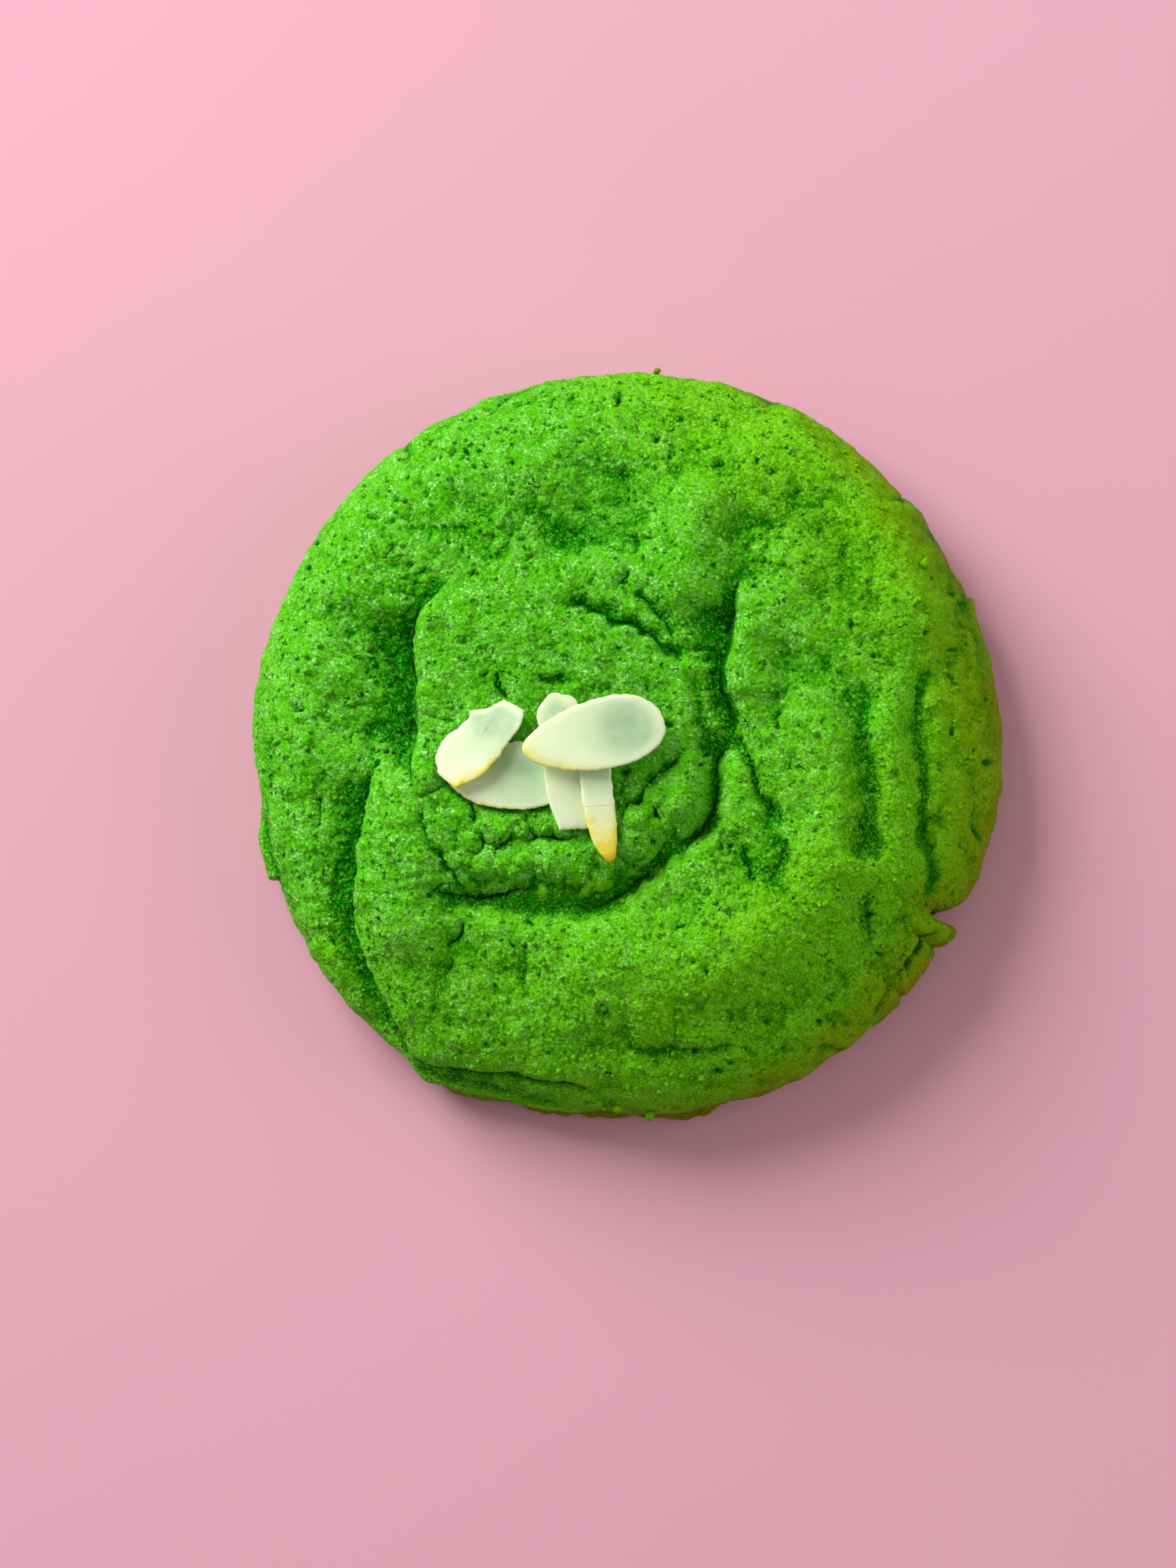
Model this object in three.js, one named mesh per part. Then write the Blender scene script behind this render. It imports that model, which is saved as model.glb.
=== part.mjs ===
// A pandan cookie: a thick, soft round of green dough that was coiled and folded before baking,
// with five slices of flaked almond laid over the middle of the coil.
// Millimetres, +Z up. The cookie lies on its flat base, and the origin is on the base, in the
// middle of the dough's outline. The split in the rim is on the +X side, towards -Y.
import * as THREE from 'three';

// ---- Driving dimensions -------------------------------------------------------------------

const RADIUS = 54.9; // mean radius at the widest level
const DOME_HEIGHT = 20.6; // of the dough, without its folds
const GIRTH_HEIGHT = 6; // of the widest level above the base
const BASE_INSET = 2.4; // how far the edge of the base lies inside the widest level
const SHOULDER = 3.6; // exponent of the dome: higher is flatter on top, with a tighter shoulder
const SLICE_THICKNESS = 1.1; // of an almond slice
const SLICE_BEVEL = 0.25; // rounding of a slice's edges
const GAP = 0.3; // kept between pieces that lie on each other

const FACETS_AROUND = 112;
const RINGS = 35;

// Slow waves in the outline: how many go round it, their swing, and where one crests, in degrees.
const OUTLINE_WAVES = [
  { count: 1, swing: 0.8, crest: -130 },
  { count: 3, swing: 0.4, crest: -16 },
  { count: 4, swing: 0.33, crest: -38 },
  { count: 5, swing: 0.3, crest: 9 },
];

// The split in the rim where the outermost turn of dough ends, in degrees and millimetres.
const SPLIT = { direction: -29.6, halfWidth: 2.2, depth: 2.5 };

// Rolls and hollows of the dough, each with a bell-shaped section along its path. A positive
// height is a roll and a negative one a hollow.
const ROLLS = [
  // The outer turn, from the plain top left down to the left side, and the hollow inside it.
  {
    height: 1.2, halfWidth: 7,
    path: [[-5.3, 45.3], [-29.3, 35.3], [-44.3, 13.3], [-46.4, -10.6], [-41.4, -24.6]],
  },
  {
    height: -2.1, halfWidth: 4.5,
    path: [[-21.1, 30.1], [-33.1, 17.1], [-35.1, 3.1], [-39.1, -8.9], [-41.3, -18.7]],
  },
  // The dip above the coil, which runs into the deep fold on its right.
  { height: -1.5, halfWidth: 6, path: [[-15, 28], [-1, 31], [11, 28], [17, 21], [15.1, 12.9]] },
  // The inner turn on the right, the valley beyond it, and the narrow ridge beside the rim.
  { height: 1.5, halfWidth: 6, path: [[20, 17], [23.1, 4.9], [26.1, -7.1], [25, -21]] },
  { height: -1.9, halfWidth: 3.2, path: [[33.9, 15.1], [35, 4], [35, -7], [34.9, -18.9]] },
  { height: 1.2, halfWidth: 3, path: [[39.8, 13.2], [38.9, -0.9], [38.9, -14.9], [40.1, -26.6]] },
  { height: -1.2, halfWidth: 4, path: [[47.4, 19.6], [47.6, 5.4], [47.6, -8.6], [49, -24]] },
  // The broad belly below the coil.
  { height: 1.3, halfWidth: 10, path: [[-23.1, -33.9], [-5, -36], [13, -32], [27.9, -25.9]] },
  // The crumbled ridges under the almonds, and the two lobes beside them.
  { height: 0.9, halfWidth: 1.8, path: [[-28, -12], [-19.9, -13.1], [-10.9, -13.7]] },
  { height: 1.0, halfWidth: 2, path: [[-24, -18.3], [-12.9, -18.4], [-2.9, -18.1]] },
  { height: 1.1, halfWidth: 2.6, path: [[11.1, -3.1], [9.6, -9.1], [8.1, -14.1]] },
  { height: 0.9, halfWidth: 2.4, path: [[2.6, -9.1], [2.6, -14.1], [1.1, -19.1]] },
];

// Creases where one turn of dough lies over the next. The lip is on the left of the path as it
// runs. On its right the dough rises gently from the crease, over the width of the foot.
const CREASES = [
  // The left edge of the coil, and the outermost fold on the left, from beside it to the bottom.
  {
    depth: 1.8, lip: 1.6, foot: 3.6,
    path: [[-22, 24], [-30.5, 12], [-29.6, -1], [-27.8, -11], [-24, -19]],
  },
  {
    depth: 1.8, lip: 1.3, foot: 2.8,
    path: [[-33, -2], [-37.6, -12.9], [-39.5, -24.7], [-34.6, -37.4], [-29.2, -46.8]],
  },
  // Under the coil: the long crease that turns up its right side, and the one on its left.
  {
    depth: 1.7, lip: 1.0, foot: 2.6,
    path: [[-13, -23], [-2.9, -25.3], [4.1, -20.5], [12.1, -13.1], [17.1, 0.9]],
  },
  { depth: 1.4, lip: 0.6, foot: 2.4, path: [[-29.1, -21.7], [-20, -23], [-11.9, -21.7], [-4.9, -21.5]] },
  // The deep fold right of the coil, and the coil's own end above the almonds.
  {
    depth: 1.9, lip: 1.6, foot: 3.4,
    path: [[18, 22], [15.4, 9.9], [17.1, -1.1], [21.6, -10.1], [26, -17]],
  },
  {
    depth: 1.1, lip: 0.8, foot: 2.2,
    path: [[13.1, -4.1], [11.1, 4.9], [5.1, 12.4], [-1.9, 16.9], [-9.9, 19.9]],
  },
  // The step beside the right rim down to its split, and the lip along the bottom rim.
  {
    depth: 1.5, lip: 0.6, foot: 2.4,
    path: [[45.7, -28.2], [43.9, -17.7], [42.7, -2.8], [44.7, 11.3], [46, 18.5]],
  },
  {
    depth: 1.0, lip: 0.8, foot: 2.2,
    path: [[-32.1, -44.4], [-21.7, -48.1], [-11.6, -50.4], [-0.6, -52.4]],
  },
];

// The middle of the coil is pressed nearly level, where the almond slices lie.
const BED = { x: -10, y: -3.5, halfLength: 17, halfWidth: 10.5, height: 19.8 };

// Almond slices, from the lowest to the topmost. The ends of each outline are drawn out by the
// two exponents in points, where 1 is an ellipse's end and more is sharper. A slice is turned to
// its heading, and leans sideways (roll) and endways (pitch), in degrees, on what is under it.
const SLICES = [
  {
    name: 'almond_lower_left',
    x: -15.9, y: -6.3, length: 17.4, width: 10, points: [1.25, 1],
    heading: 12, roll: 0, pitch: 0,
  },
  {
    name: 'almond_upper_left',
    x: -19.8, y: -2, length: 16.4, width: 8.4, points: [1, 1.2],
    heading: 42, roll: -9, pitch: 0,
  },
  {
    name: 'almond_upright',
    x: -7.6, y: -4.5, length: 19.8, width: 6.8, points: [1, 1], cutEnd: 0.8,
    heading: -82, roll: -11, pitch: 0,
  },
  {
    name: 'almond_browned',
    x: -2.5, y: -9.5, length: 19.4, width: 4.7, points: [1, 1.4],
    heading: -81, roll: -10, pitch: 0,
  },
  {
    name: 'almond_oval',
    x: -3.4, y: -0.6, length: 20.6, width: 10.8, points: [1.3, 0.9],
    heading: 12.5, roll: 0, pitch: 7,
  },
];

// ---- Outline and section of the dough -----------------------------------------------------

const { clamp, degToRad, lerp, radToDeg, smoothstep } = THREE.MathUtils;

function outlineRadius(angle) {
  let radius = RADIUS;
  for (const { count, swing, crest } of OUTLINE_WAVES) {
    radius += swing * Math.cos(count * (angle - degToRad(crest)));
  }
  const away = (radToDeg(angle) - SPLIT.direction) / SPLIT.halfWidth;
  return radius - SPLIT.depth * Math.exp(-away * away);
}

// One side of the dough's section, from the edge of the base out to the widest level and up over
// the dome to the axis. x is the distance from the axis and y the height.
class Section extends THREE.Curve {
  getPoint(t) {
    const BASE_SHARE = 0.12; // of the curve's parameter, for the quarter turn below the girth
    if (t < BASE_SHARE) {
      const turn = (t / BASE_SHARE) * (Math.PI / 2);
      return new THREE.Vector3(
        RADIUS - BASE_INSET * (1 - Math.sin(turn)),
        GIRTH_HEIGHT * (1 - Math.cos(turn)),
        0,
      );
    }
    const turn = ((t - BASE_SHARE) / (1 - BASE_SHARE)) * (Math.PI / 2);
    const share = Math.cos(turn);
    const rise = Math.sqrt(1 - share ** SHOULDER);
    return new THREE.Vector3(RADIUS * share, lerp(GIRTH_HEIGHT, DOME_HEIGHT, rise), 0);
  }
}

// ---- Relief of the dough ------------------------------------------------------------------

// A path drawn as a smooth curve, in steps short enough to measure distances from it.
function trace(path) {
  const STEP = 1.5;
  const curve = new THREE.CatmullRomCurve3(path.map(([x, y]) => new THREE.Vector3(x, y, 0)));
  return curve.getSpacedPoints(Math.ceil(curve.getLength() / STEP));
}

// How far (x, y) lies to the left of a traced path, negative to its right, and a fade that goes
// from 0 at the path's ends to 1 along it.
function measureFrom(points, x, y) {
  const FADE = 0.2; // share of the path that each end takes to fade
  let distance = Infinity;
  let side = 1;
  let along = 0;
  for (let i = 0; i + 1 < points.length; i++) {
    const fromX = x - points[i].x;
    const fromY = y - points[i].y;
    const stepX = points[i + 1].x - points[i].x;
    const stepY = points[i + 1].y - points[i].y;
    const t = clamp((fromX * stepX + fromY * stepY) / (stepX ** 2 + stepY ** 2), 0, 1);
    const gap = Math.hypot(fromX - t * stepX, fromY - t * stepY);
    if (gap < distance) {
      distance = gap;
      side = stepX * fromY > stepY * fromX ? 1 : -1;
      along = (i + t) / (points.length - 1);
    }
  }
  return { offset: side * distance, fade: smoothstep(Math.min(along, 1 - along), 0, FADE) };
}

const rolls = ROLLS.map((roll) => ({ ...roll, points: trace(roll.path) }));
const creases = CREASES.map((crease) => ({ ...crease, points: trace(crease.path) }));

// How far the rolls and creases lift the dough at one place in plan.
function relief(x, y) {
  const LIP_EDGE = 1.5; // distance in which a lip rises out of its crease
  const LIP_REACH = 6; // distance at which a lip has sunk back into the dome
  let lift = 0;
  for (const { points, height, halfWidth } of rolls) {
    const { offset, fade } = measureFrom(points, x, y);
    lift += height * fade * Math.exp(-((offset / halfWidth) ** 2));
  }
  for (const { points, depth, lip, foot } of creases) {
    const { offset, fade } = measureFrom(points, x, y);
    const distance = Math.abs(offset);
    const drop = Math.exp(-((distance / (offset > 0 ? LIP_EDGE : foot)) ** 1.5));
    const rise = offset > 0 ? (1 - drop) * Math.exp(-((distance / LIP_REACH) ** 2)) : 0;
    lift += fade * (lip * rise - depth * drop);
  }
  return lift;
}

// How far the almond bed levels the dough at one place: 1 in its middle, 0 outside it.
function bedding(x, y) {
  const across = Math.hypot((x - BED.x) / BED.halfLength, (y - BED.y) / BED.halfWidth);
  return 1 - smoothstep(across, 0.75, 1.15);
}

// The section is turned about Z. Then each point moves out to the outline, and along the
// section's own outward normal by the relief, which fades out down the side.
function doughGeometry() {
  const section = new Section().getSpacedPoints(RINGS);
  const profile = section.map(({ x, y }) => new THREE.Vector2(x, y));
  profile[RINGS].x = 0;
  profile.unshift(new THREE.Vector2(0, 0));
  const geometry = new THREE.LatheGeometry(profile, FACETS_AROUND).rotateX(Math.PI / 2);
  const position = geometry.getAttribute('position');
  for (let i = 0; i < position.count; i++) {
    const ring = i % profile.length;
    const angle = Math.atan2(position.getY(i), position.getX(i));
    const stretch = outlineRadius(angle) / RADIUS;
    let radius = profile[ring].x * stretch;
    let height = profile[ring].y;
    if (height > 0) {
      const outside = profile[ring - 1];
      const inside = profile[Math.min(ring + 1, profile.length - 1)];
      const slope = new THREE.Vector2().subVectors(outside, inside).normalize();
      const x = radius * Math.cos(angle);
      const y = radius * Math.sin(angle);
      const lift = relief(x, y) * smoothstep(height, 0, GIRTH_HEIGHT);
      radius -= lift * slope.y;
      height = lerp(height + lift * slope.x, BED.height, bedding(x, y));
    }
    position.setXYZ(i, radius * Math.cos(angle), radius * Math.sin(angle), height);
  }
  return geometry;
}

// ---- Almond slices ------------------------------------------------------------------------

// A slice lies along its own X axis, with its middle at the origin. Its outline is an ellipse
// whose ends are drawn out by their exponents, and cutEnd is the share of the half length at
// which it is cut off square. The outline is drawn smaller by the bevel, which swells it again.
function sliceShape({ length, width, points, cutEnd = 1 }) {
  const STEPS = 28;
  const halfLength = length / 2 - SLICE_BEVEL;
  const halfWidth = width / 2 - SLICE_BEVEL;
  const outline = [];
  for (let i = 0; i < STEPS; i++) {
    const turn = (i / STEPS) * 2 * Math.PI;
    const exponent = Math.cos(turn) < 0 ? points[0] : points[1];
    const x = Math.cos(turn) * halfLength;
    const y = Math.sign(Math.sin(turn)) * Math.abs(Math.sin(turn)) ** exponent * halfWidth;
    if (x <= cutEnd * halfLength) outline.push(new THREE.Vector2(x, y));
  }
  return new THREE.Shape(outline);
}

function sliceGeometry(slice) {
  const geometry = new THREE.ExtrudeGeometry(sliceShape(slice), {
    depth: SLICE_THICKNESS - 2 * SLICE_BEVEL,
    bevelThickness: SLICE_BEVEL,
    bevelSize: SLICE_BEVEL,
    bevelSegments: 2,
  });
  return geometry.translate(0, 0, SLICE_BEVEL);
}

// Moves a mesh up or down until it lies GAP above what is under it, found with vertical rays.
function layOn(mesh, below) {
  const STEP = 0.8;
  const UP = new THREE.Vector3(0, 0, 1);
  const DOWN = new THREE.Vector3(0, 0, -1);
  const rays = new THREE.Raycaster();
  const box = new THREE.Box3().setFromObject(mesh);
  let rise = -Infinity;
  for (let x = box.min.x; x <= box.max.x; x += STEP) {
    for (let y = box.min.y; y <= box.max.y; y += STEP) {
      rays.set(new THREE.Vector3(x, y, box.min.z - 1), UP);
      const underside = rays.intersectObject(mesh)[0];
      if (!underside) continue;
      rays.set(new THREE.Vector3(x, y, 2 * DOME_HEIGHT), DOWN);
      const support = rays.intersectObjects(below)[0];
      rise = Math.max(rise, support.point.z - underside.point.z);
    }
  }
  mesh.position.z += rise + GAP;
  mesh.updateMatrixWorld();
}

// ---- The cookie ---------------------------------------------------------------------------

const bakedDough = new THREE.MeshStandardMaterial({ color: 0x4fa62b, roughness: 0.7, metalness: 0 });
const toastedAlmond = new THREE.MeshStandardMaterial({ color: 0xe9e4b4, roughness: 0.55, metalness: 0 });

const dough = new THREE.Mesh(doughGeometry(), bakedDough);
dough.name = 'dough';

const pieces = [dough];
for (const slice of SLICES) {
  const mesh = new THREE.Mesh(sliceGeometry(slice), toastedAlmond);
  mesh.name = slice.name;
  mesh.position.set(slice.x, slice.y, 0);
  mesh.rotation.set(degToRad(slice.roll), degToRad(slice.pitch), degToRad(slice.heading), 'ZYX');
  mesh.updateMatrixWorld();
  layOn(mesh, pieces);
  pieces.push(mesh);
}

const cookie = new THREE.Group();
cookie.add(...pieces);
const middle = new THREE.Box3().setFromObject(dough).getCenter(new THREE.Vector3());
cookie.position.set(-middle.x, -middle.y, 0);

export default cookie;
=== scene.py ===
"""Pandan cookie with flaked almonds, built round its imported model.

The dough is one closed surface worked out from a section turned round the middle, a wavy
outline, and the folds, lumps, grains and pores of the baked crumb. The almond slices are thin
lenses laid on it, and the loose crumbs are small knobbly balls. All shapes are worked out in
millimetres and put into their meshes in metres.
"""

from collections import namedtuple
from itertools import product
import math

import bpy
import numpy as np
from mathutils import Matrix, Vector


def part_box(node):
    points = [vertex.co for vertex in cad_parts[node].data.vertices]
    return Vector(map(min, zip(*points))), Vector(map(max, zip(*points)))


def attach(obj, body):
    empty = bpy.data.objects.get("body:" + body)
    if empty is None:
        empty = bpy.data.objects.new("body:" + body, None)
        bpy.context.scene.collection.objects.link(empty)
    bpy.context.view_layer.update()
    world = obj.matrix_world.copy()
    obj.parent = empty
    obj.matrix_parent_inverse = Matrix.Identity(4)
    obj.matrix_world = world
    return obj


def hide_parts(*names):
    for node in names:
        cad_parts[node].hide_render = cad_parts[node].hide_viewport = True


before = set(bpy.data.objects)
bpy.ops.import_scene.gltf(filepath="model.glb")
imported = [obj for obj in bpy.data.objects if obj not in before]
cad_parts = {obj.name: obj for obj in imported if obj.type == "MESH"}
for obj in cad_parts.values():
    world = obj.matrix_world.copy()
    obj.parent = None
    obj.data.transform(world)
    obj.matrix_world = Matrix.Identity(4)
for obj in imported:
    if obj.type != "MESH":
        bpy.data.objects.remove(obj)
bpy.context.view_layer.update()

bl_info = {
    "name": "Pandan Cookie",
    "version": (1, 0, 0),
    "blender": (4, 5, 0),
    "location": "View3D > Sidebar > Cookie",
    "description": "Bakes a folded green cookie with almond slices, and sets its stage",
    "category": "Add Mesh",
}

MM = 0.001
DOUGH_LOW, DOUGH_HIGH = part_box("dough")

# ---- Sizes of the dough, in millimetres -----------------------------------------------------

MEAN_RADIUS = 0.25 * sum(DOUGH_HIGH[axis] - DOUGH_LOW[axis] for axis in (0, 1)) / MM
DOME_HEIGHT = 20.6
GIRTH_HEIGHT = 6.0  # of the widest level
BASE_INSET = 2.4  # of the edge of the base inside the widest level
SHOULDER = 3.6  # exponent of the dome

GRID = 284  # cells along each side of the dough's grid
BASE_RINGS = 12
BASE_RISE = 0.12  # how far the base lies above the floor, away from its edge

# Slow waves in the outline: how many go round it, their swing, and where one crests, in degrees.
OUTLINE_WAVES = ((1, 0.8, -130), (3, 0.4, -16), (4, 0.33, -38), (5, 0.3, 9), (6, 0.14, 0))

# Short features of the outline: direction, half widths clockwise and anticlockwise of it in
# degrees, and how far they stick out. First the split and the crumb beside it, then small bumps.
OUTLINE_BUMPS = (
    (-30.7, 0.4, 3.6, -2.9), (-22, 2.5, 6, 0.5), (-32.6, 1.3, 1.5, 1.2), (-34.6, 0.4, 0.5, -1.0),
    (-43.4, 0.7, 0.5, -0.7), (238, 3, 3, 0.6), (252, 9, 12, -1.3),
    (278, 7, 7, 0.5), (-48, 3, 3, 0.3),
)
# Places where the outline steps outward, going clockwise, and fades back: direction in degrees,
# step, and the angle over which it fades.
OUTLINE_STEPS = ((40.6, 0.6, 5.0), (22.2, 0.7, 6.0), (66.0, 0.4, 6.0), (-6.6, 0.35, 4.0))

# The lobe beside the split leans over it: its direction and half width in degrees, and in
# millimetres the distance from the middle where it starts to lean, and how far it leans.
SPLIT_LOBE = (-32.0, 1.8, 52.9, 1.3)

# Parts of the side that stick out further, below a height: the directions between which they do,
# the angles over which they start and end, how far they stick out, and the height.
LEDGES = (
    (189.0, 201.4, 7.0, 0.7, 1.5, 7.6),  # the thin flap low on the left
    (235.0, 267.0, 5.0, 11.0, 1.3, 7.5),  # the lower turn of dough at the bottom
    (239.0, 288.0, 5.0, 8.0, 1.5, 2.8),  # the foot below it
)
FOOT = LEDGES[-1:]

# Slow swells of the dough, and the wavering of its folds: size of the swells and their reach.
SWELLS = ((15.0, 0.4), (6.0, 0.4), (3.0, 0.22))
WAVER = ((6.0, 0.5), (2.2, 0.25))

# ---- Folds of the dough ---------------------------------------------------------------------
# Their paths are drawn in plan, in millimetres.

# A roll is a ridge with a bell-shaped section, or a hollow if its height is negative. Its widths
# are those on the left and on the right of its path.
Roll = namedtuple("Roll", "height left right path")

# A crease lies between two turns of dough. On the left of its path the dough rises within the
# edge to a lip. On its right it rises more gently, within the foot.
Crease = namedtuple("Crease", "depth edge lip foot path")

ROLLS = (
    # The outer turn, round the top and down its left side, and the hollow inside it.
    Roll(1.2, 8.0, 8.0, ((8.7, 45.3), (-5.3, 45.3), (-21.3, 40.3), (-33.4, 32.4), (-42.4, 19.4),
                         (-46.4, 5.4), (-47.5, -12.5))),
    Roll(1.0, 5.0, 5.0, ((-46, 16), (-46.8, 5), (-47, -9))),
    Roll(-0.5, 4.0, 6.0, ((-8, 30), (-17, 28), (-25.1, 24.1))),
    Roll(-3.8, 1.6, 12.0, ((-29.6, 19.1), (-31, 13), (-31, 7), (-31, 0), (-34, -7))),
    Roll(-1.6, 2.4, 4.6, ((-36.5, -2.9), (-38.1, -9.9), (-39.6, -18.8), (-38.8, -27.6),
                          (-36, -34.5), (-33.7, -40.3), (-31.2, -45.8))),
    Roll(2.0, 5.0, 5.0, ((-28, 0), (-28.5, -7), (-30, -14), (-30.7, -22.9), (-28.2, -32.8))),
    Roll(-0.8, 6.0, 6.0, ((-27.1, -29.9), (-19.1, -31.9), (-11, -32))),
    Roll(0.9, 9.0, 9.0, ((-22.9, 8.9), (-12.9, 13.9), (-0.9, 11.9), (5.1, 2.9))),
    # The dips above the coil, and the fold that runs down from them on its right.
    Roll(-1.5, 5.0, 5.5, ((-11, 26), (-6, 31), (-2.1, 36.1), (-0.2, 41.2))),
    Roll(-1.0, 6.0, 3.0, ((-13, 27.5), (-7, 28.5), (-1, 29), (5, 27.5))),
    Roll(1.5, 3.8, 4.0, ((7.1, 15.9), (9.5, 22.9), (12, 31), (13.8, 39.2))),
    Roll(-1.1, 4.0, 4.4, ((19.9, 33.1), (18, 26), (16.1, 18.9))),
    Roll(-1.9, 2.6, 4.0, ((16.1, 18.9), (14.3, 12.9), (14.3, 8.9))),
    # The long valley below the coil and up its right side.
    Roll(-2.2, 4.4, 1.7, ((-27, -21.5), (-23, -23.2), (-18, -24), (-13, -25), (-7, -25.8),
                          (-1.9, -25.7), (1.1, -23.5))),
    Roll(-2.7, 3.4, 1.5, ((-4.9, -25.9), (-1.9, -25.5), (1.1, -23.5), (4.1, -21.1), (7.6, -17.9),
                          (11.1, -15.5), (13.5, -11.7), (14, -7.1), (14.6, -3.3), (16.5, -1.1),
                          (16.7, 2.9))),
    # The turn beyond it, from the belly up the right side.
    Roll(3.0, 6.0, 8.5, ((-14, -31.5), (-2, -33), (8, -34), (15.3, -31.6), (22.8, -27.2),
                         (28.8, -21.2), (31.3, -13.5), (31.5, -6), (28, 3), (25, 11))),
    Roll(1.8, 6.0, 4.6, ((26, 7), (29.6, -1), (30.6, -9), (30, -16), (26, -22))),
    Roll(1.3, 2.4, 8.0, ((19.1, 16.9), (19.7, 10.9), (20.7, 3.9))),
    Roll(0.8, 6.0, 6.0, ((23.1, 10.9), (25, 21), (22.9, 31.1))),
    # The valley beside the right rim, the narrow ridge beyond it, and the rim's own turn.
    Roll(-2.7, 6.2, 2.0, ((35.7, -20.9), (35.4, -15.9), (35.4, -10.4), (35, -5), (34.3, 0.4),
                          (35.2, 4.6), (37, 8.4))),
    Roll(0.4, 2.2, 3.4, ((41.9, -25.6), (40.8, -18.8), (39.8, -10.9), (39.2, -4.9), (39, 1.1),
                         (39.5, 7.1), (39.8, 12.2))),
    Roll(2.3, 5.6, 7.0, ((41.8, 7.2), (42.3, 17.3), (40.2, 26.4), (34.6, 34.4), (25.6, 41.4),
                         (14.6, 46.4))),
    Roll(-0.5, 5.0, 6.5, ((47.4, -22.4), (50.4, -12.4), (51.2, 1.6), (50.4, 13.6), (47.8, 23.8),
                          (42.1, 33.9))),
    Roll(-0.6, 3.0, 4.0, ((44.1, 31.9), (37.8, 40.2), (28, 47), (16.2, 50.8))),
    # The crumbled ridges under the almonds, and the lobes and the wedge beside them.
    Roll(0.7, 1.8, 1.8, ((-27, -11.5), (-19.9, -12.7), (-10.9, -13.3))),
    Roll(0.9, 2.2, 2.0, ((-24, -18.2), (-12.9, -18.1), (-2.9, -18.1))),
    Roll(1.6, 2.2, 2.6, ((11, -2.6), (10.4, -7), (8.7, -13.4))),
    Roll(1.0, 2.3, 2.3, ((2.7, -11.1), (2.3, -14.1), (1.1, -18.6))),
    Roll(0.8, 2.0, 2.0, ((16.7, -4.1), (18.1, -9.1), (19.6, -14.1))),
    # Small hollows round the topmost slice.
    Roll(-0.9, 0.9, 0.9, ((-11.1, 6.1), (-8.9, 7.3), (-6.3, 6.5))),
    Roll(-0.6, 0.9, 0.9, ((-3.1, 5.7), (-0.7, 6.1))),
)

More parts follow.
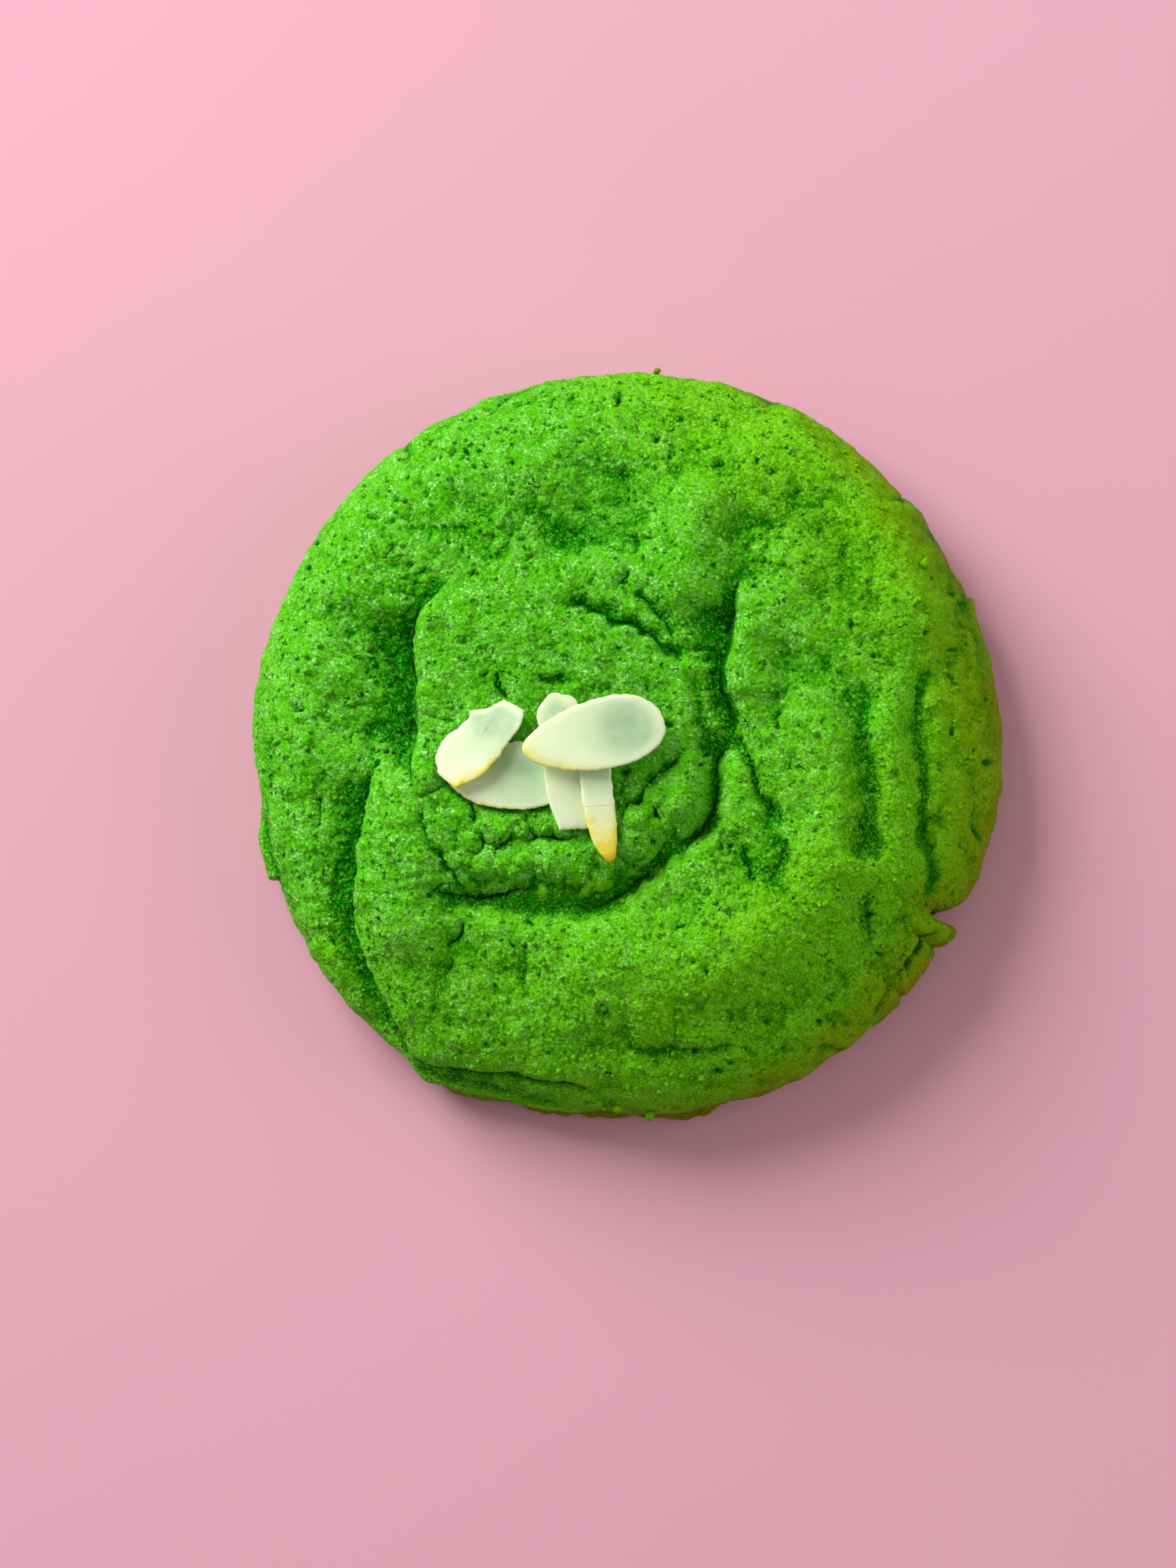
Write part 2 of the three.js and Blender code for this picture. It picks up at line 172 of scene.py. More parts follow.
CREASES = (
    # The left edge of the coil, and its lower end.
    Crease(1.7, 0.6, 0.8, 3.4, ((-23.5, 23.5), (-26, 20.5), (-28.8, 18), (-30.3, 15), (-30.6, 11),
                                (-30.1, 7), (-29.9, 3), (-30, -1), (-30, -4), (-29.3, -7.5),
                                (-28.2, -10.3))),
    Crease(0.9, 0.5, 0.2, 0.9, ((-28.2, -10.6), (-27.9, -13.3), (-26.4, -15.8), (-24.9, -17.5),
                                (-23.8, -19.2), (-22.4, -21), (-21.2, -22.2))),
    # The outermost fold on the left, from beside the coil to the bottom, and cracks beside it.
    Crease(1.6, 0.7, 0.6, 2.8, ((-32.8, -0.5), (-35.3, -4.9), (-37, -9.4), (-37.4, -12.9),
                                (-38.5, -17.3), (-38.6, -20.8), (-39.1, -24.7), (-38.7, -28.9),
                                (-34.7, -37.6), (-31.7, -42.5), (-30.2, -46.6))),
    Crease(0.9, 0.5, 0.1, 0.7, ((-44.3, -8.2), (-44, -11.2), (-44.6, -14))),
    Crease(0.8, 0.4, 0.0, 0.4, ((-47.7, 4.6), (-46.6, 4), (-45.6, 3.3))),
    # Under the coil: the upper crease on the left, and the long one that turns up its right side.
    Crease(1.7, 0.7, 0.4, 1.0, ((-28, -21.1), (-26, -21.7), (-23.5, -22.4), (-20.5, -23),
                                (-17.5, -22.6), (-15, -22), (-12.4, -21.6), (-10.2, -21.4))),
    Crease(1.5, 1.4, 0.0, 0.7, ((-8, -25.5), (-3.9, -25.4), (-1.8, -24.8), (0.3, -23.5),
                                (2.7, -21.5), (5.3, -19.3), (7.7, -17.3))),
    Crease(1.5, 1.2, 0.0, 0.7, ((7.3, -14.9), (9.1, -15.3), (11.1, -14.9), (12.4, -13.1),
                                (13.2, -10.7), (13.7, -8.1), (13.8, -5.3), (14.6, -3.1),
                                (16.7, -1.5))),
    # The deep fold on the right of the coil, the branch that runs on below it, and two cracks.
    Crease(2.0, 0.5, 1.4, 2.6, ((17.9, 23), (17, 17.9), (16.3, 13.9), (15.4, 10.4), (15.2, 7.4),
                                (16, 3.7), (16.9, 0.9), (17.5, -1.7))),
    Crease(1.5, 0.9, 0.8, 1.8, ((16.7, 0.5), (18.4, -3.1), (19.5, -6.1), (20, -9.3), (21.4, -10.4),
                                (22.6, -12.3), (24.4, -13.9))),
    Crease(0.9, 0.4, 0.0, 0.5, ((18.5, -16.3), (17.9, -18.1), (18.3, -19.7), (18.8, -21.4))),
    Crease(0.9, 0.4, 0.0, 0.5, ((23.9, -16.2), (23.4, -18.5), (22.2, -20.1), (21.4, -22))),
    # The ends of the coil's turns, above and beside the almonds.
    Crease(0.8, 1.2, 0.2, 2.6, ((10.8, -4.5), (11.6, -1), (11.9, 2.6), (11.2, 6.2), (10.6, 8.6))),
    Crease(1.9, 0.7, 0.3, 1.7, ((10.3, 9), (9.2, 9.9), (8.3, 11.4), (6.4, 11.7), (5.1, 13.3),
                                (3.1, 13.9), (1.8, 15.4), (-0.6, 15.6), (-1.6, 17.2), (-4, 17.5),
                                (-5.2, 18.6), (-7.4, 18), (-9.3, 19.6))),
    Crease(1.4, 0.7, 0.3, 1.3, ((8.9, 12.4), (7.3, 14), (6.4, 15.7), (5.1, 16.9), (4.1, 18.6),
                                (1.3, 19.8))),
    Crease(1.1, 0.6, 0.2, 1.2, ((16.4, 14.3), (15, 12.3), (13.1, 11.9), (11.4, 11.7),
                                (10.1, 12.5))),
    Crease(0.9, 0.6, 0.0, 0.8, ((2.1, 23.4), (0.8, 21.7), (0.5, 20.5))),
    Crease(0.8, 0.6, 0.0, 0.9, ((-2.1, 19.9), (-3.5, 21.2), (-4.1, 22.3))),
    # Round the two lobes on the right of the almonds.
    Crease(1.1, 1.2, 0.0, 0.7, ((-0.6, -12.6), (1.3, -11.5), (3.4, -10.3), (3.8, -8.5),
                                (5.1, -6.7), (6.8, -5.5), (9.1, -3.7), (10.4, -1.9))),
    Crease(1.5, 0.5, 0.1, 0.7, ((4.7, -10.4), (5.3, -12.1), (6.1, -13.6), (7, -14.7),
                                (8.3, -15.3))),
    Crease(0.7, 0.7, 0.0, 0.7, ((0.6, -19.3), (2.7, -18.9), (4.9, -17.9), (6, -16.4),
                                (6.1, -14.9))),
    # Cracks in the crumbled ridges under the almonds.
    Crease(2.1, 0.8, 0.3, 0.8, ((-23.2, -13.9), (-21.1, -13.8), (-19.7, -14.7), (-17.9, -15.4),
                                (-15.9, -15.5), (-14.1, -15), (-12.5, -15.1), (-11.1, -14.3),
                                (-9.5, -14.5), (-8.3, -15.3), (-6.7, -15.2), (-5.2, -14.3))),
    Crease(1.5, 0.7, 0.2, 0.9, ((-21.3, -17.4), (-19.5, -16.4), (-18.5, -15.7))),
    Crease(1.5, 0.55, 0.0, 0.6, ((-17.4, -16), (-17.1, -18.1), (-17, -20))),
    Crease(1.3, 0.55, 0.0, 0.6, ((-21.8, -9.7), (-20.3, -11.7), (-21, -13.7))),
    Crease(0.9, 0.45, 0.0, 0.5, ((-29.2, -9.6), (-27.2, -8.6), (-25.8, -8.3), (-24.1, -7.5))),
    Crease(0.7, 0.4, 0.0, 0.4, ((-13.5, -11.3), (-12.4, -13.1), (-12.5, -14.7))),
    # Short cracks left of the almonds and below them.
    Crease(1.2, 0.45, 0.0, 0.5, ((-17.8, 8.9), (-17.3, 6.5), (-16.6, 5.2), (-15.3, 4.3))),
    Crease(0.8, 0.4, 0.0, 0.45, ((-29.4, 2.9), (-26.6, 2.3), (-24.7, 1.7), (-23.1, 1.4))),
    Crease(0.9, 0.45, 0.0, 0.5, ((-24.9, -29.7), (-23.4, -29.1), (-22.2, -27.8), (-21.9, -26))),
    Crease(0.6, 0.4, 0.0, 0.45, ((-23.5, -31.3), (-24.1, -33.8))),
    # The step beside the right rim, and the cracks at its lower end.
    Crease(1.1, 1.9, 0.4, 1.5, ((45.6, -27.9), (45.1, -23.5), (44.2, -18.8), (43.3, -14.7),
                                (43.3, -10.8), (43.6, -7.3), (43.1, -3.3), (42.4, 0.2),
                                (42.8, 3.2), (43.8, 7.2), (44.7, 12.8))),
    Crease(1.3, 0.5, 0.2, 0.6, ((44.7, -27.3), (43.4, -28.9), (42.6, -30.6), (41.9, -31.8),
                                (41, -32.6), (40.7, -34.6))),
    Crease(1.0, 0.45, 0.1, 0.5, ((38.9, -36.3), (37.3, -37.6), (36.3, -38.9), (35.6, -40.2))),
    Crease(0.6, 0.6, 0.2, 1.2, ((34.8, -22.4), (34.8, -26.3), (35.1, -29), (36.1, -30.1))),
    Crease(0.5, 0.8, 0.3, 1.8, ((0.7, -46.1), (5.7, -45.5), (10.2, -45.3), (17.2, -44.3))),
    # Under the lip at the bottom, over the lower turn of dough.
    Crease(1.1, 0.5, 0.4, 0.8, ((-31.3, -43.2), (-27.8, -45.8), (-23.8, -47.8), (-19.7, -48.9),
                                (-14.6, -50), (-9.6, -50.8), (-6.1, -51.4), (-3.2, -52.3))),
)
LIP_REACH = 5.0  # distance at which a lip has sunk back into the dome
LINE_REACH = 2.0  # distance to a crease's middle that counts as far from any crease

# The colour measures of the base, where there are no hollows, pores or creases.
BASE_MEASURES = {
    "hollow": 0.35, "low": 1.0, "pore": 0.0, "moist_and_sheen": 0.0, "line": LINE_REACH, "strength": 0.0,
}

# The largest pits: x, y, half length, half width, turn in degrees, and depth.
PITS = (
    (7.1, 0.7, 0.9, 0.42, -10, 1), (0.8, -6.1, 0.8, 0.5, 20, 1), (52.6, -4.1, 0.8, 0.45, 20, 0.9),
    (44.4, -16.7, 0.5, 0.3, 0, 0.8), (-22.6, 41.3, 1, 0.35, -50, 0.9),
    (-15.6, 39.3, 0.7, 0.32, -60, 0.9), (-21.3, 38.8, 0.7, 0.35, -65, 0.9),
    (-28.3, 34.9, 0.5, 0.4, 0, 0.9), (-32.9, 34.4, 0.6, 0.45, 0, 0.9),
    (-36.2, 31.8, 0.9, 0.38, -10, 0.8), (-34.6, 37.5, 0.5, 0.35, 0, 0.7),
    (-0.5, 48.9, 1, 0.32, 85, 0.9), (8.7, 45.8, 0.4, 0.35, 0, 0.8),
    (13.6, 45.7, 0.45, 0.35, 0, 0.9), (19.7, 39.2, 0.7, 0.35, 90, 0.8),
    (22, 37.6, 1.1, 0.4, -10, 0.8), (50.7, -14.3, 1.1, 0.3, -60, 0.7),
    (33.3, 15.1, 0.4, 0.8, 0, 0.8), (-19.4, 43.2, 0.4, 0.3, 0, 0.6),
    (-2.5, -39.7, 0.35, 0.6, 0, 0.8),
)

# Folds on the side, as points of direction in degrees and height: the split on the right, and
# shallower wrinkles all round.
SIDE_CREASES = (
    (1.8, 1.4, 0.2, 0.5, ((-30.6, 10), (-30.8, 8), (-30.9, 5), (-30.5, 1.5))),
    (0.5, 0.8, 0.2, 1.4, ((22, 12), (21.5, 10), (22.5, 7), (22, 4))),
    (0.7, 0.7, 0.2, 1.2, ((40.5, 12.5), (40.3, 9), (41, 5))),
    (0.7, 0.9, 0.3, 1.6, ((70, 8.5), (84, 7.6), (97, 8.6))),
    (0.6, 0.8, 0.2, 1.4, ((128, 14), (127, 9), (129, 4))),
    (0.8, 0.9, 0.4, 1.6, ((150, 6.5), (164, 7.4), (178, 6.2), (190, 7.2))),
    (0.4, 0.9, 0.1, 1.4, ((212, 12), (212.5, 9), (212, 5))),
    (0.6, 0.8, 0.2, 1.4, ((302, 12), (304, 8), (303, 4))),
)

# ---- Almond slices --------------------------------------------------------------------------

# The outline is drawn in plan, in millimetres, and a point given twice is a sharp corner. The
# slice leans by its roll and pitch, in degrees, about its own long axis and across it. Its toasted
# edge lies towards one direction in plan. Its thin, clear part has a middle, a radius and a
# strength.
Slice = namedtuple("Slice", "outline heading roll pitch toast toward clear")

SLICES = {
    "almond_lower_left": Slice(
        ((-24.5, -6.7), (-23.5, -8.5), (-20.9, -10.3), (-17.5, -11.1), (-12.8, -11.3),
         (-9.1, -10.1), (-7.5, -7.1), (-8.3, -4.1), (-11.4, -1.9), (-15.9, -1.7), (-20.9, -3.7)),
        12, 0, 0, 0.18, 250, (-13.4, -5.6, 5.5, 1.0)),
    "almond_upper_left": Slice(
        ((-16.4, 4.4), (-16.4, 4.4), (-13.5, 2.8), (-13.5, 2.8), (-13.9, 0.6), (-15.3, -1.3),
         (-17.1, -4), (-19.6, -6.6), (-22.9, -8.1), (-23.9, -7.9), (-25.9, -6.2), (-25.9, -5.5),
         (-26.3, -3.9), (-25.1, -1.3), (-23.3, 0.2), (-21.5, 1.9), (-21.4, 2.8), (-21.4, 2.8),
         (-20.1, 3.1), (-18.9, 3.1), (-17.9, 3.6)),
        42, -9, 0, 0.46, 300, (-17.5, 1.5, 5.0, 0.9)),
    "almond_upright": Slice(
        ((-11.6, 2.1), (-10.3, 4.6), (-8.9, 5.3), (-8, 4.9), (-7, 4.9), (-5.7, 3.7), (-4.3, -0.3),
         (-3.9, -7.3), (-3.7, -13.8), (-4, -14.2), (-8, -14.4), (-8.5, -14.1), (-10.2, -9.1),
         (-10.9, -1.3)),
        -82, -11, 0, 0.0, 0, (-9.1, 3.3, 2.4, 0.9)),
    "almond_browned": Slice(
        ((-5.3, -1.3), (-1.6, -0.9), (-0.9, -7.3), (-0.2, -13.7), (-0.2, -17.1), (-0.6, -19),
         (-1.8, -18.8), (-3.4, -16.6), (-4.3, -13.9), (-5.3, -8.3)),
        -81, -10, 0, 1.0, 275, (-3.1, -6.3, 3.4, 0.7)),
    "almond_oval": Slice(
        ((-13.4, -2.6), (-11, 0.2), (-5.5, 3.3), (0.6, 4.8), (4.6, 3.8), (6.7, 1), (6.2, -2),
         (3, -4.6), (-3.1, -6.2), (-9.5, -5.7), (-12.7, -4.3)),
        12.5, 0, 7, 0.3, 250, (1.8, 0.2, 5.2, 1.0)),
}
HAIR_CRACK = -11.1  # where a hair crack runs across the browned slice, in y

# ---- Loose crumbs ---------------------------------------------------------------------------

CRUMB_COUNT = 1800
CRUMB_RADIUS = 0.28  # of a middling crumb
LARGE_CRUMBS = (  # x, y, z, radius and browning
    (-1.0, -53.6, 9.5, 0.7, 0.3), (3.4, -54.2, 8.5, 0.75, 0.3), (-3.1, -52.8, 8.5, 0.4, 0.25),
    (4.7, 54.6, 8.0, 0.6, 0.6),
)


# ---- Small mathematical tools ---------------------------------------------------------------

def smoothstep(low, high, value):
    """0 at low and beyond, 1 at high and beyond, and an S-shaped change between them."""
    t = np.clip((value - low) / (high - low), 0.0, 1.0)
    return t * t * (3.0 - 2.0 * t)


def patch(plan, middle_x, middle_y, half_length, half_width):
    """1 inside a patch drawn in plan and 0 outside: exp of minus the fourth powers of the
    distances from its middle, along x and y, as shares of its half sizes."""
    along = ((plan[..., 0] - middle_x) / half_length) ** 4
    return np.exp(-along - ((plan[..., 1] - middle_y) / half_width) ** 4)


def random_at(cells, seed):
    """A repeatable random number from 0 to 1 for each whole-numbered cell (last axis x, y, z),
    whose coordinates are mixed by multiplying them and shifting their bits."""
    whole = cells.astype(np.int64).astype(np.uint32)
    mixed = whole[..., 0] * np.uint32(0x8DA6B343)
    mixed ^= whole[..., 1] * np.uint32(0xD8163841)
    mixed ^= whole[..., 2] * np.uint32(0xCB1AB31F)
    mixed ^= np.uint32((seed * 0x9E3779B1) & 0xFFFFFFFF)
    for shift, factor in ((15, 0x2C1B3C6D), (12, 0x297A2D39), (15, 0x1B56C4E9)):
        mixed ^= mixed >> np.uint32(shift)
        mixed *= np.uint32(factor)
    mixed ^= mixed >> np.uint32(16)
    return mixed / 2.0**32


def noise(points, size, seed):
    """Gradient noise from about -1 to 1, with swells of the given size: each corner of the cube
    round a point has a random slope, and the slopes are blended by the point's place in it."""
    scaled = points / size
    low = np.floor(scaled)
    part = scaled - low
    ease = part**3 * (part * (part * 6.0 - 15.0) + 10.0)
    total = np.zeros(points.shape[:-1])
    for corner in product((0, 1), repeat=3):
        cell = low + corner
        turn = 2.0 * math.pi * random_at(cell, seed)
        upward = 2.0 * random_at(cell, seed + 101) - 1.0
        level = np.sqrt(1.0 - upward**2)
        away = part - corner
        slope = away[..., 0] * level * np.cos(turn) + away[..., 1] * level * np.sin(turn)
        slope += away[..., 2] * upward
        total += slope * np.prod(np.where(corner, ease, 1.0 - ease), axis=-1)
    return 1.6 * total


def swells(points, layers, seed):
    """Noise in layers, each with its own size and reach, added up."""
    return sum(reach * noise(points, size, seed + n) for n, (size, reach) in enumerate(layers))


def knobs(points, size, seed):
    """Rounded knobs with narrow gaps between them, from 0 in the gaps to 1 on top: about 1 less
    the squared distance to the nearest of a scatter of centres, one to a cell, and a third of it
    where the second nearest is as close."""
    scaled = points / size
    low = np.floor(scaled)
    nearest = np.full(points.shape[:-1], 9.0)
    second = nearest.copy()
    for step in product((-1, 0, 1), repeat=3):
        cell = low + step
        jitter = [random_at(cell, seed + axis) for axis in range(3)]
        distance = np.linalg.norm(cell + np.stack(jitter, -1) - scaled, axis=-1)
        second = np.minimum(second, np.maximum(nearest, distance))
        nearest = np.minimum(nearest, distance)
    gap = smoothstep(0.0, 0.25, second - nearest)
    return np.clip(1.0 - 1.1 * nearest**2, 0.0, 1.0) * (0.35 + 0.65 * gap)


def smooth_path(points, step=0.8):
    """A Catmull-Rom curve through the points, as a polyline with about the given step."""
    knots = np.array(points, float)
    knots = np.vstack((2 * knots[0] - knots[1], knots, 2 * knots[-1] - knots[-2]))
    runs = []
    for a, b, c, d in zip(knots, knots[1:], knots[2:], knots[3:]):
        count = max(2, int(np.linalg.norm(c - b) / step))
        t = np.arange(count)[:, None] / count
        curve = 2 * b + (c - a) * t + (2 * a - 5 * b + 4 * c - d) * t**2
        runs.append(0.5 * (curve + (3 * b - a - 3 * c + d) * t**3))
    runs.append(knots[-2:-1])
    return np.concatenate(runs)


def beside(path, x, y, reach):
    """Which points lie within reach of a path, how far to its left (negative to its right), and
    a fade from 0 at the path's ends to 1 within a fifth of its length."""
    line = smooth_path(path)
    low, high = line.min(0) - reach, line.max(0) + reach
    near = np.nonzero((x > low[0]) & (x < high[0]) & (y > low[1]) & (y < high[1]))[0]
    points = np.stack((x[near], y[near]), -1)[:, None, :]
    start = line[:-1]
    run = np.diff(line, axis=0)
    square = (run**2).sum(-1)
    along = np.clip(((points - start) * run).sum(-1) / square, 0.0, 1.0)
    away = points - start - along[..., None] * run
    distance = np.hypot(away[..., 0], away[..., 1])
    best = distance.argmin(1)
    row = np.arange(len(near))
    side = np.sign(run[best, 0] * away[row, best, 1] - run[best, 1] * away[row, best, 0])
    share = (best + along[row, best]) / len(run)
    fade = smoothstep(0.0, 0.2, np.minimum(share, 1.0 - share))
    return near, side * distance[row, best], fade


def degrees_past(angle, direction):
    """How far an angle in radians lies past a direction, from -180 to 180 degrees."""
    return (np.degrees(angle) - direction + 180.0) % 360.0 - 180.0


def grid_normals(points):
    """Outward unit normals of a grid of points: the cross product of its two directions."""
    normal = np.cross(np.gradient(points, axis=0), np.gradient(points, axis=1))
    return normal / np.linalg.norm(normal, axis=-1, keepdims=True)


def blurred(values, radius):
    """A grid of values averaged over squares of the given radius in cells, twice over."""
    width = 2 * radius + 1
    for axis in (0, 1, 0, 1):
        pad = [(radius + 1, radius) if a == axis else (0, 0) for a in (0, 1)]
        total = np.cumsum(np.pad(values, pad, mode="edge"), axis=axis)
        size = values.shape[axis]
        ahead = np.take(total, range(width, size + width), axis=axis)
        values = (ahead - np.take(total, range(size), axis=axis)) / width
    return values


def inside_outline(points, rim):
    """Which points lie inside a closed outline: a ray from them crosses it an odd number of times."""
    x, y = points[:, :1], points[:, 1:]
    x1, y1 = rim[:, 0], rim[:, 1]
    x2, y2 = np.roll(x1, -1), np.roll(y1, -1)
    crosses = (y1 > y) != (y2 > y)
    rise = np.where(y2 == y1, 1.0, y2 - y1)
    return (crosses & (x < x1 + (x2 - x1) * (y - y1) / rise)).sum(1) % 2 == 1


def ball_faces(rows, around):
    """The faces of a ball: quads between its rows of points, and a fan of triangles at each end.
    Its vertices are the rows, and then the top and the bottom pole."""
    index = np.arange(rows * around).reshape(rows, around)
    ahead = np.roll(index, -1, axis=1)
    quads = np.stack((index[:-1], index[1:], ahead[1:], ahead[:-1]), -1).reshape(-1, 4)
    top, bottom = np.full(around, index.size), np.full(around, index.size + 1)
    fans = ((top, index[0], ahead[0]), (bottom, ahead[-1], index[-1]))
    return quads, np.vstack([np.stack(fan, -1) for fan in fans])


# ---- Shape of the dough ---------------------------------------------------------------------

def section():
    """One side of the dough, from the axis out over the shoulder and in to the edge of the base:
    its distance over the surface, distance from the axis, and height. The dome is a
    superellipse, and the part below the widest level a quarter of an ellipse."""
    turn = np.linspace(0.0, math.pi / 2, 400)
    share = np.sin(turn)
    dome = GIRTH_HEIGHT + (DOME_HEIGHT - GIRTH_HEIGHT) * np.sqrt(1.0 - share**SHOULDER)
    radius = np.append(MEAN_RADIUS * share, MEAN_RADIUS - BASE_INSET * (1.0 - np.cos(turn[1:])))
    height = np.append(dome, GIRTH_HEIGHT * (1.0 - np.sin(turn[1:])))
    reach = np.append(0.0, np.cumsum(np.hypot(np.diff(radius), np.diff(height))))
    return reach, radius, height


def disc_grid(cells):
    """A square grid of points laid over a disc of radius 1, with squares kept nearly square: each
    square ring of the grid becomes a circle. Gives the points' distance and angle."""
    a, b = np.meshgrid(np.linspace(-1, 1, cells + 1), np.linspace(-1, 1, cells + 1), indexing="ij")
    wide = np.abs(a) > np.abs(b)
    ring = np.where(wide, a, b)
    safe = np.where(ring == 0.0, 1.0, ring)
    angle = np.where(wide, b / safe, 2.0 - a / safe) * math.pi / 4
    return np.abs(ring), np.where(ring < 0.0, angle + math.pi, angle)


# The plain dome as a grid of points: their distance over the surface from its middle, their angle
# round it, their places once the surface is unrolled into a plan, their distance from the axis,
# their height, and how far the surface's normal leans away from the vertical.
Dome = namedtuple("Dome", "over angle plan far level lean")


def plain_dome():
    """The dome without its folds, from the middle of the top out and down to the base's edge."""
    share, angle = disc_grid(GRID)
    reach, radius, height = section()
    over = share * reach[-1]
    plan = np.stack((over * np.cos(angle), over * np.sin(angle), np.zeros_like(over)), -1)
    falling = np.arctan2(-np.gradient(height, reach), np.abs(np.gradient(radius, reach)))
    slope = np.interp(over, reach, falling)
    below = over > np.interp(-GIRTH_HEIGHT, -height, reach)
    lean = np.where(below, math.pi - slope, slope)
    far, level = np.interp(over, reach, radius), np.interp(over, reach, height)
    return Dome(over, angle, plan, far, level, lean)


def outline(angle, share):
    """How far the dough reaches in one direction, as a ratio of the mean radius. The slow waves
    reach all the way in, and the short bumps and steps only near the rim."""
    STEP_WIDTH = 0.4  # in degrees
    RIM = (0.78, 0.97)  # shares of the radius between which short features fade in
    swing = sum(
        size * np.cos(count * (angle - math.radians(crest))) for count, size, crest in OUTLINE_WAVES
    )
    short = np.zeros_like(angle)
    for direction, before, after, size in OUTLINE_BUMPS:
        past = degrees_past(angle, direction)
        short += size * np.exp(-((past / np.where(past < 0.0, before, after)) ** 2))
    for direction, size, fade in OUTLINE_STEPS:
        past = -degrees_past(angle, direction)
        step = smoothstep(-STEP_WIDTH, STEP_WIDTH, past)
        short += size * step * np.exp(-np.maximum(past, 0.0) / fade)
    return 1.0 + (swing + short * smoothstep(*RIM, share)) / MEAN_RADIUS


def ledges(dome, chosen=LEDGES):
    """How far the chosen ledges stick out. Each fades at its ends, and round its own height."""
    BELOW, ABOVE = 1.2, 0.6  # its height, where it starts and ends to fade
    out = np.zeros_like(dome.level)
    turn = degrees_past(dome.angle, 180.0) + 180.0
    for start, end, rise, fall, size, top in chosen:
        share = smoothstep(start, start + rise, turn) * (1.0 - smoothstep(end - fall, end, turn))
        out += size * share * (1.0 - smoothstep(top - BELOW, top + ABOVE, dome.level))
    return out


def side_point(direction, height):
    """Where a point of the side, given by direction and height, lies once unrolled."""
    reach, _, heights = section()
    distance = np.interp(-height, -heights, reach)
    turn = math.radians(direction)
    return distance * math.cos(turn), distance * math.sin(turn)


def unrolled(path):
    """A path in plan, with its points moved out to their distance over the surface."""
    reach, radius, _ = section()
    widest = radius.argmax() + 1
    points = np.array(path, float)
    distance = np.hypot(points[:, 0], points[:, 1])
    over = np.interp(distance, radius[:widest], reach[:widest])
    return points * (over / distance)[:, None]


def all_creases():
    """The creases of the side and of the top, with their paths unrolled."""
    for depth, edge, lip, foot, path in SIDE_CREASES:
        yield Crease(depth, edge, lip, foot, [side_point(*point) for point in path])
    for crease in CREASES:
        yield crease._replace(path=unrolled(crease.path))


def fold_relief(x, y):
    """The lift of rolls, hollows and creases at places of the plan. A roll's section is a bell. A
    crease falls off on both sides as exp(-(distance / width)^1.3), and its lip is a low swell
    beside it. Where creases meet, the deepest counts. Also gives how deep in a crease each place
    lies, and the signed distance to the middle of the strongest crease near it, with its
    strength, which is less for a wide crease."""
    BELL_REACH = 2.5  # widths at which a roll has ended
    FOOT_REACH = 3.5  # widths at which a crease has ended
    LINE_WIDTH = 0.5  # a crease that is wider than this has a weaker line
    LINE_FADE = (1.5, 0.7)  # distances between which the line fades in
    lift, drop, strength = np.zeros((3, *x.shape))
    line = np.full_like(x, LINE_REACH)
    for roll in ROLLS:
        reach = BELL_REACH * max(roll.left, roll.right)
        near, offset, fade = beside(unrolled(roll.path), x, y, reach)
        width = np.where(offset > 0.0, roll.left, roll.right)
        lift[near] += roll.height * fade * np.exp(-((offset / width) ** 2))
    for crease in all_creases():
        reach = max(FOOT_REACH * crease.foot, 2.0 * LIP_REACH if crease.lip else LINE_REACH)
        near, offset, fade = beside(crease.path, x, y, reach)
        away = np.abs(offset)
        hollow = np.exp(-((away / np.where(offset > 0.0, crease.edge, crease.foot)) ** 1.3))
        swell = np.where(offset > 0.0, (1.0 - hollow) * np.exp(-((away / LIP_REACH) ** 2)), 0.0)
        lift[near] += crease.lip * fade * swell
        drop[near] = np.maximum(drop[near], crease.depth * fade * hollow)
        narrow = min(1.0, LINE_WIDTH / min(crease.edge, crease.foot))
        sharp = crease.depth * narrow * fade * smoothstep(*LINE_FADE, away)
        stronger = sharp > strength[near]
        line[near] = np.where(stronger, offset, line[near])
        strength[near] = np.where(stronger, sharp, strength[near])
    return lift - drop, drop, line, strength


def fold(dome, fold_depth):
    """Folds the dome: it is stretched to its outline, lifted along its normal by the folds and
    slow swells, and pushed out by the ledges. The lobe beside the split then leans over. Folds
    waver a little, and fade out near the base. Gives the dome with its leaning angles, the folded
    points, the points without folds and ledges, and the measures of the creases."""
    plan, level = dome.plan, dome.level
    wavered = [(plan[..., axis] + swells(plan, WAVER, 11 + 2 * axis)).ravel() for axis in (0, 1)]
    lift, *creases = (values.reshape(level.shape) for values in fold_relief(*wavered))
    lift += swells(plan, SWELLS, 3)
    lift *= fold_depth * grounded(level)
    round_rim = dome.far * outline(dome.angle, dome.far / MEAN_RADIUS)
    away = round_rim + lift * np.sin(dome.lean) + ledges(dome)
    away += 0.5 * ledges(dome, FOOT) * noise(plan, 3.0, 8)
    direction, width, start, over_split = SPLIT_LOBE
    bell = np.exp(-((degrees_past(dome.angle, direction) / width) ** 2))
    leaning = over_split * bell * smoothstep(start, start + 2.5, away)
    angle = dome.angle + leaning / away.clip(1.0)
    ray = np.stack((np.cos(angle), np.sin(angle)), -1)
    points = np.dstack((away[..., None] * ray, level + lift * np.cos(dome.lean)))
    unfolded = np.dstack((round_rim[..., None] * ray, level))
    return dome._replace(angle=angle), points, unfolded, creases


def grounded(level):
    """0 at the base, rising to 1 above it, so that relief fades out where the dough rests."""
    return smoothstep(0.0, 3.0, level)


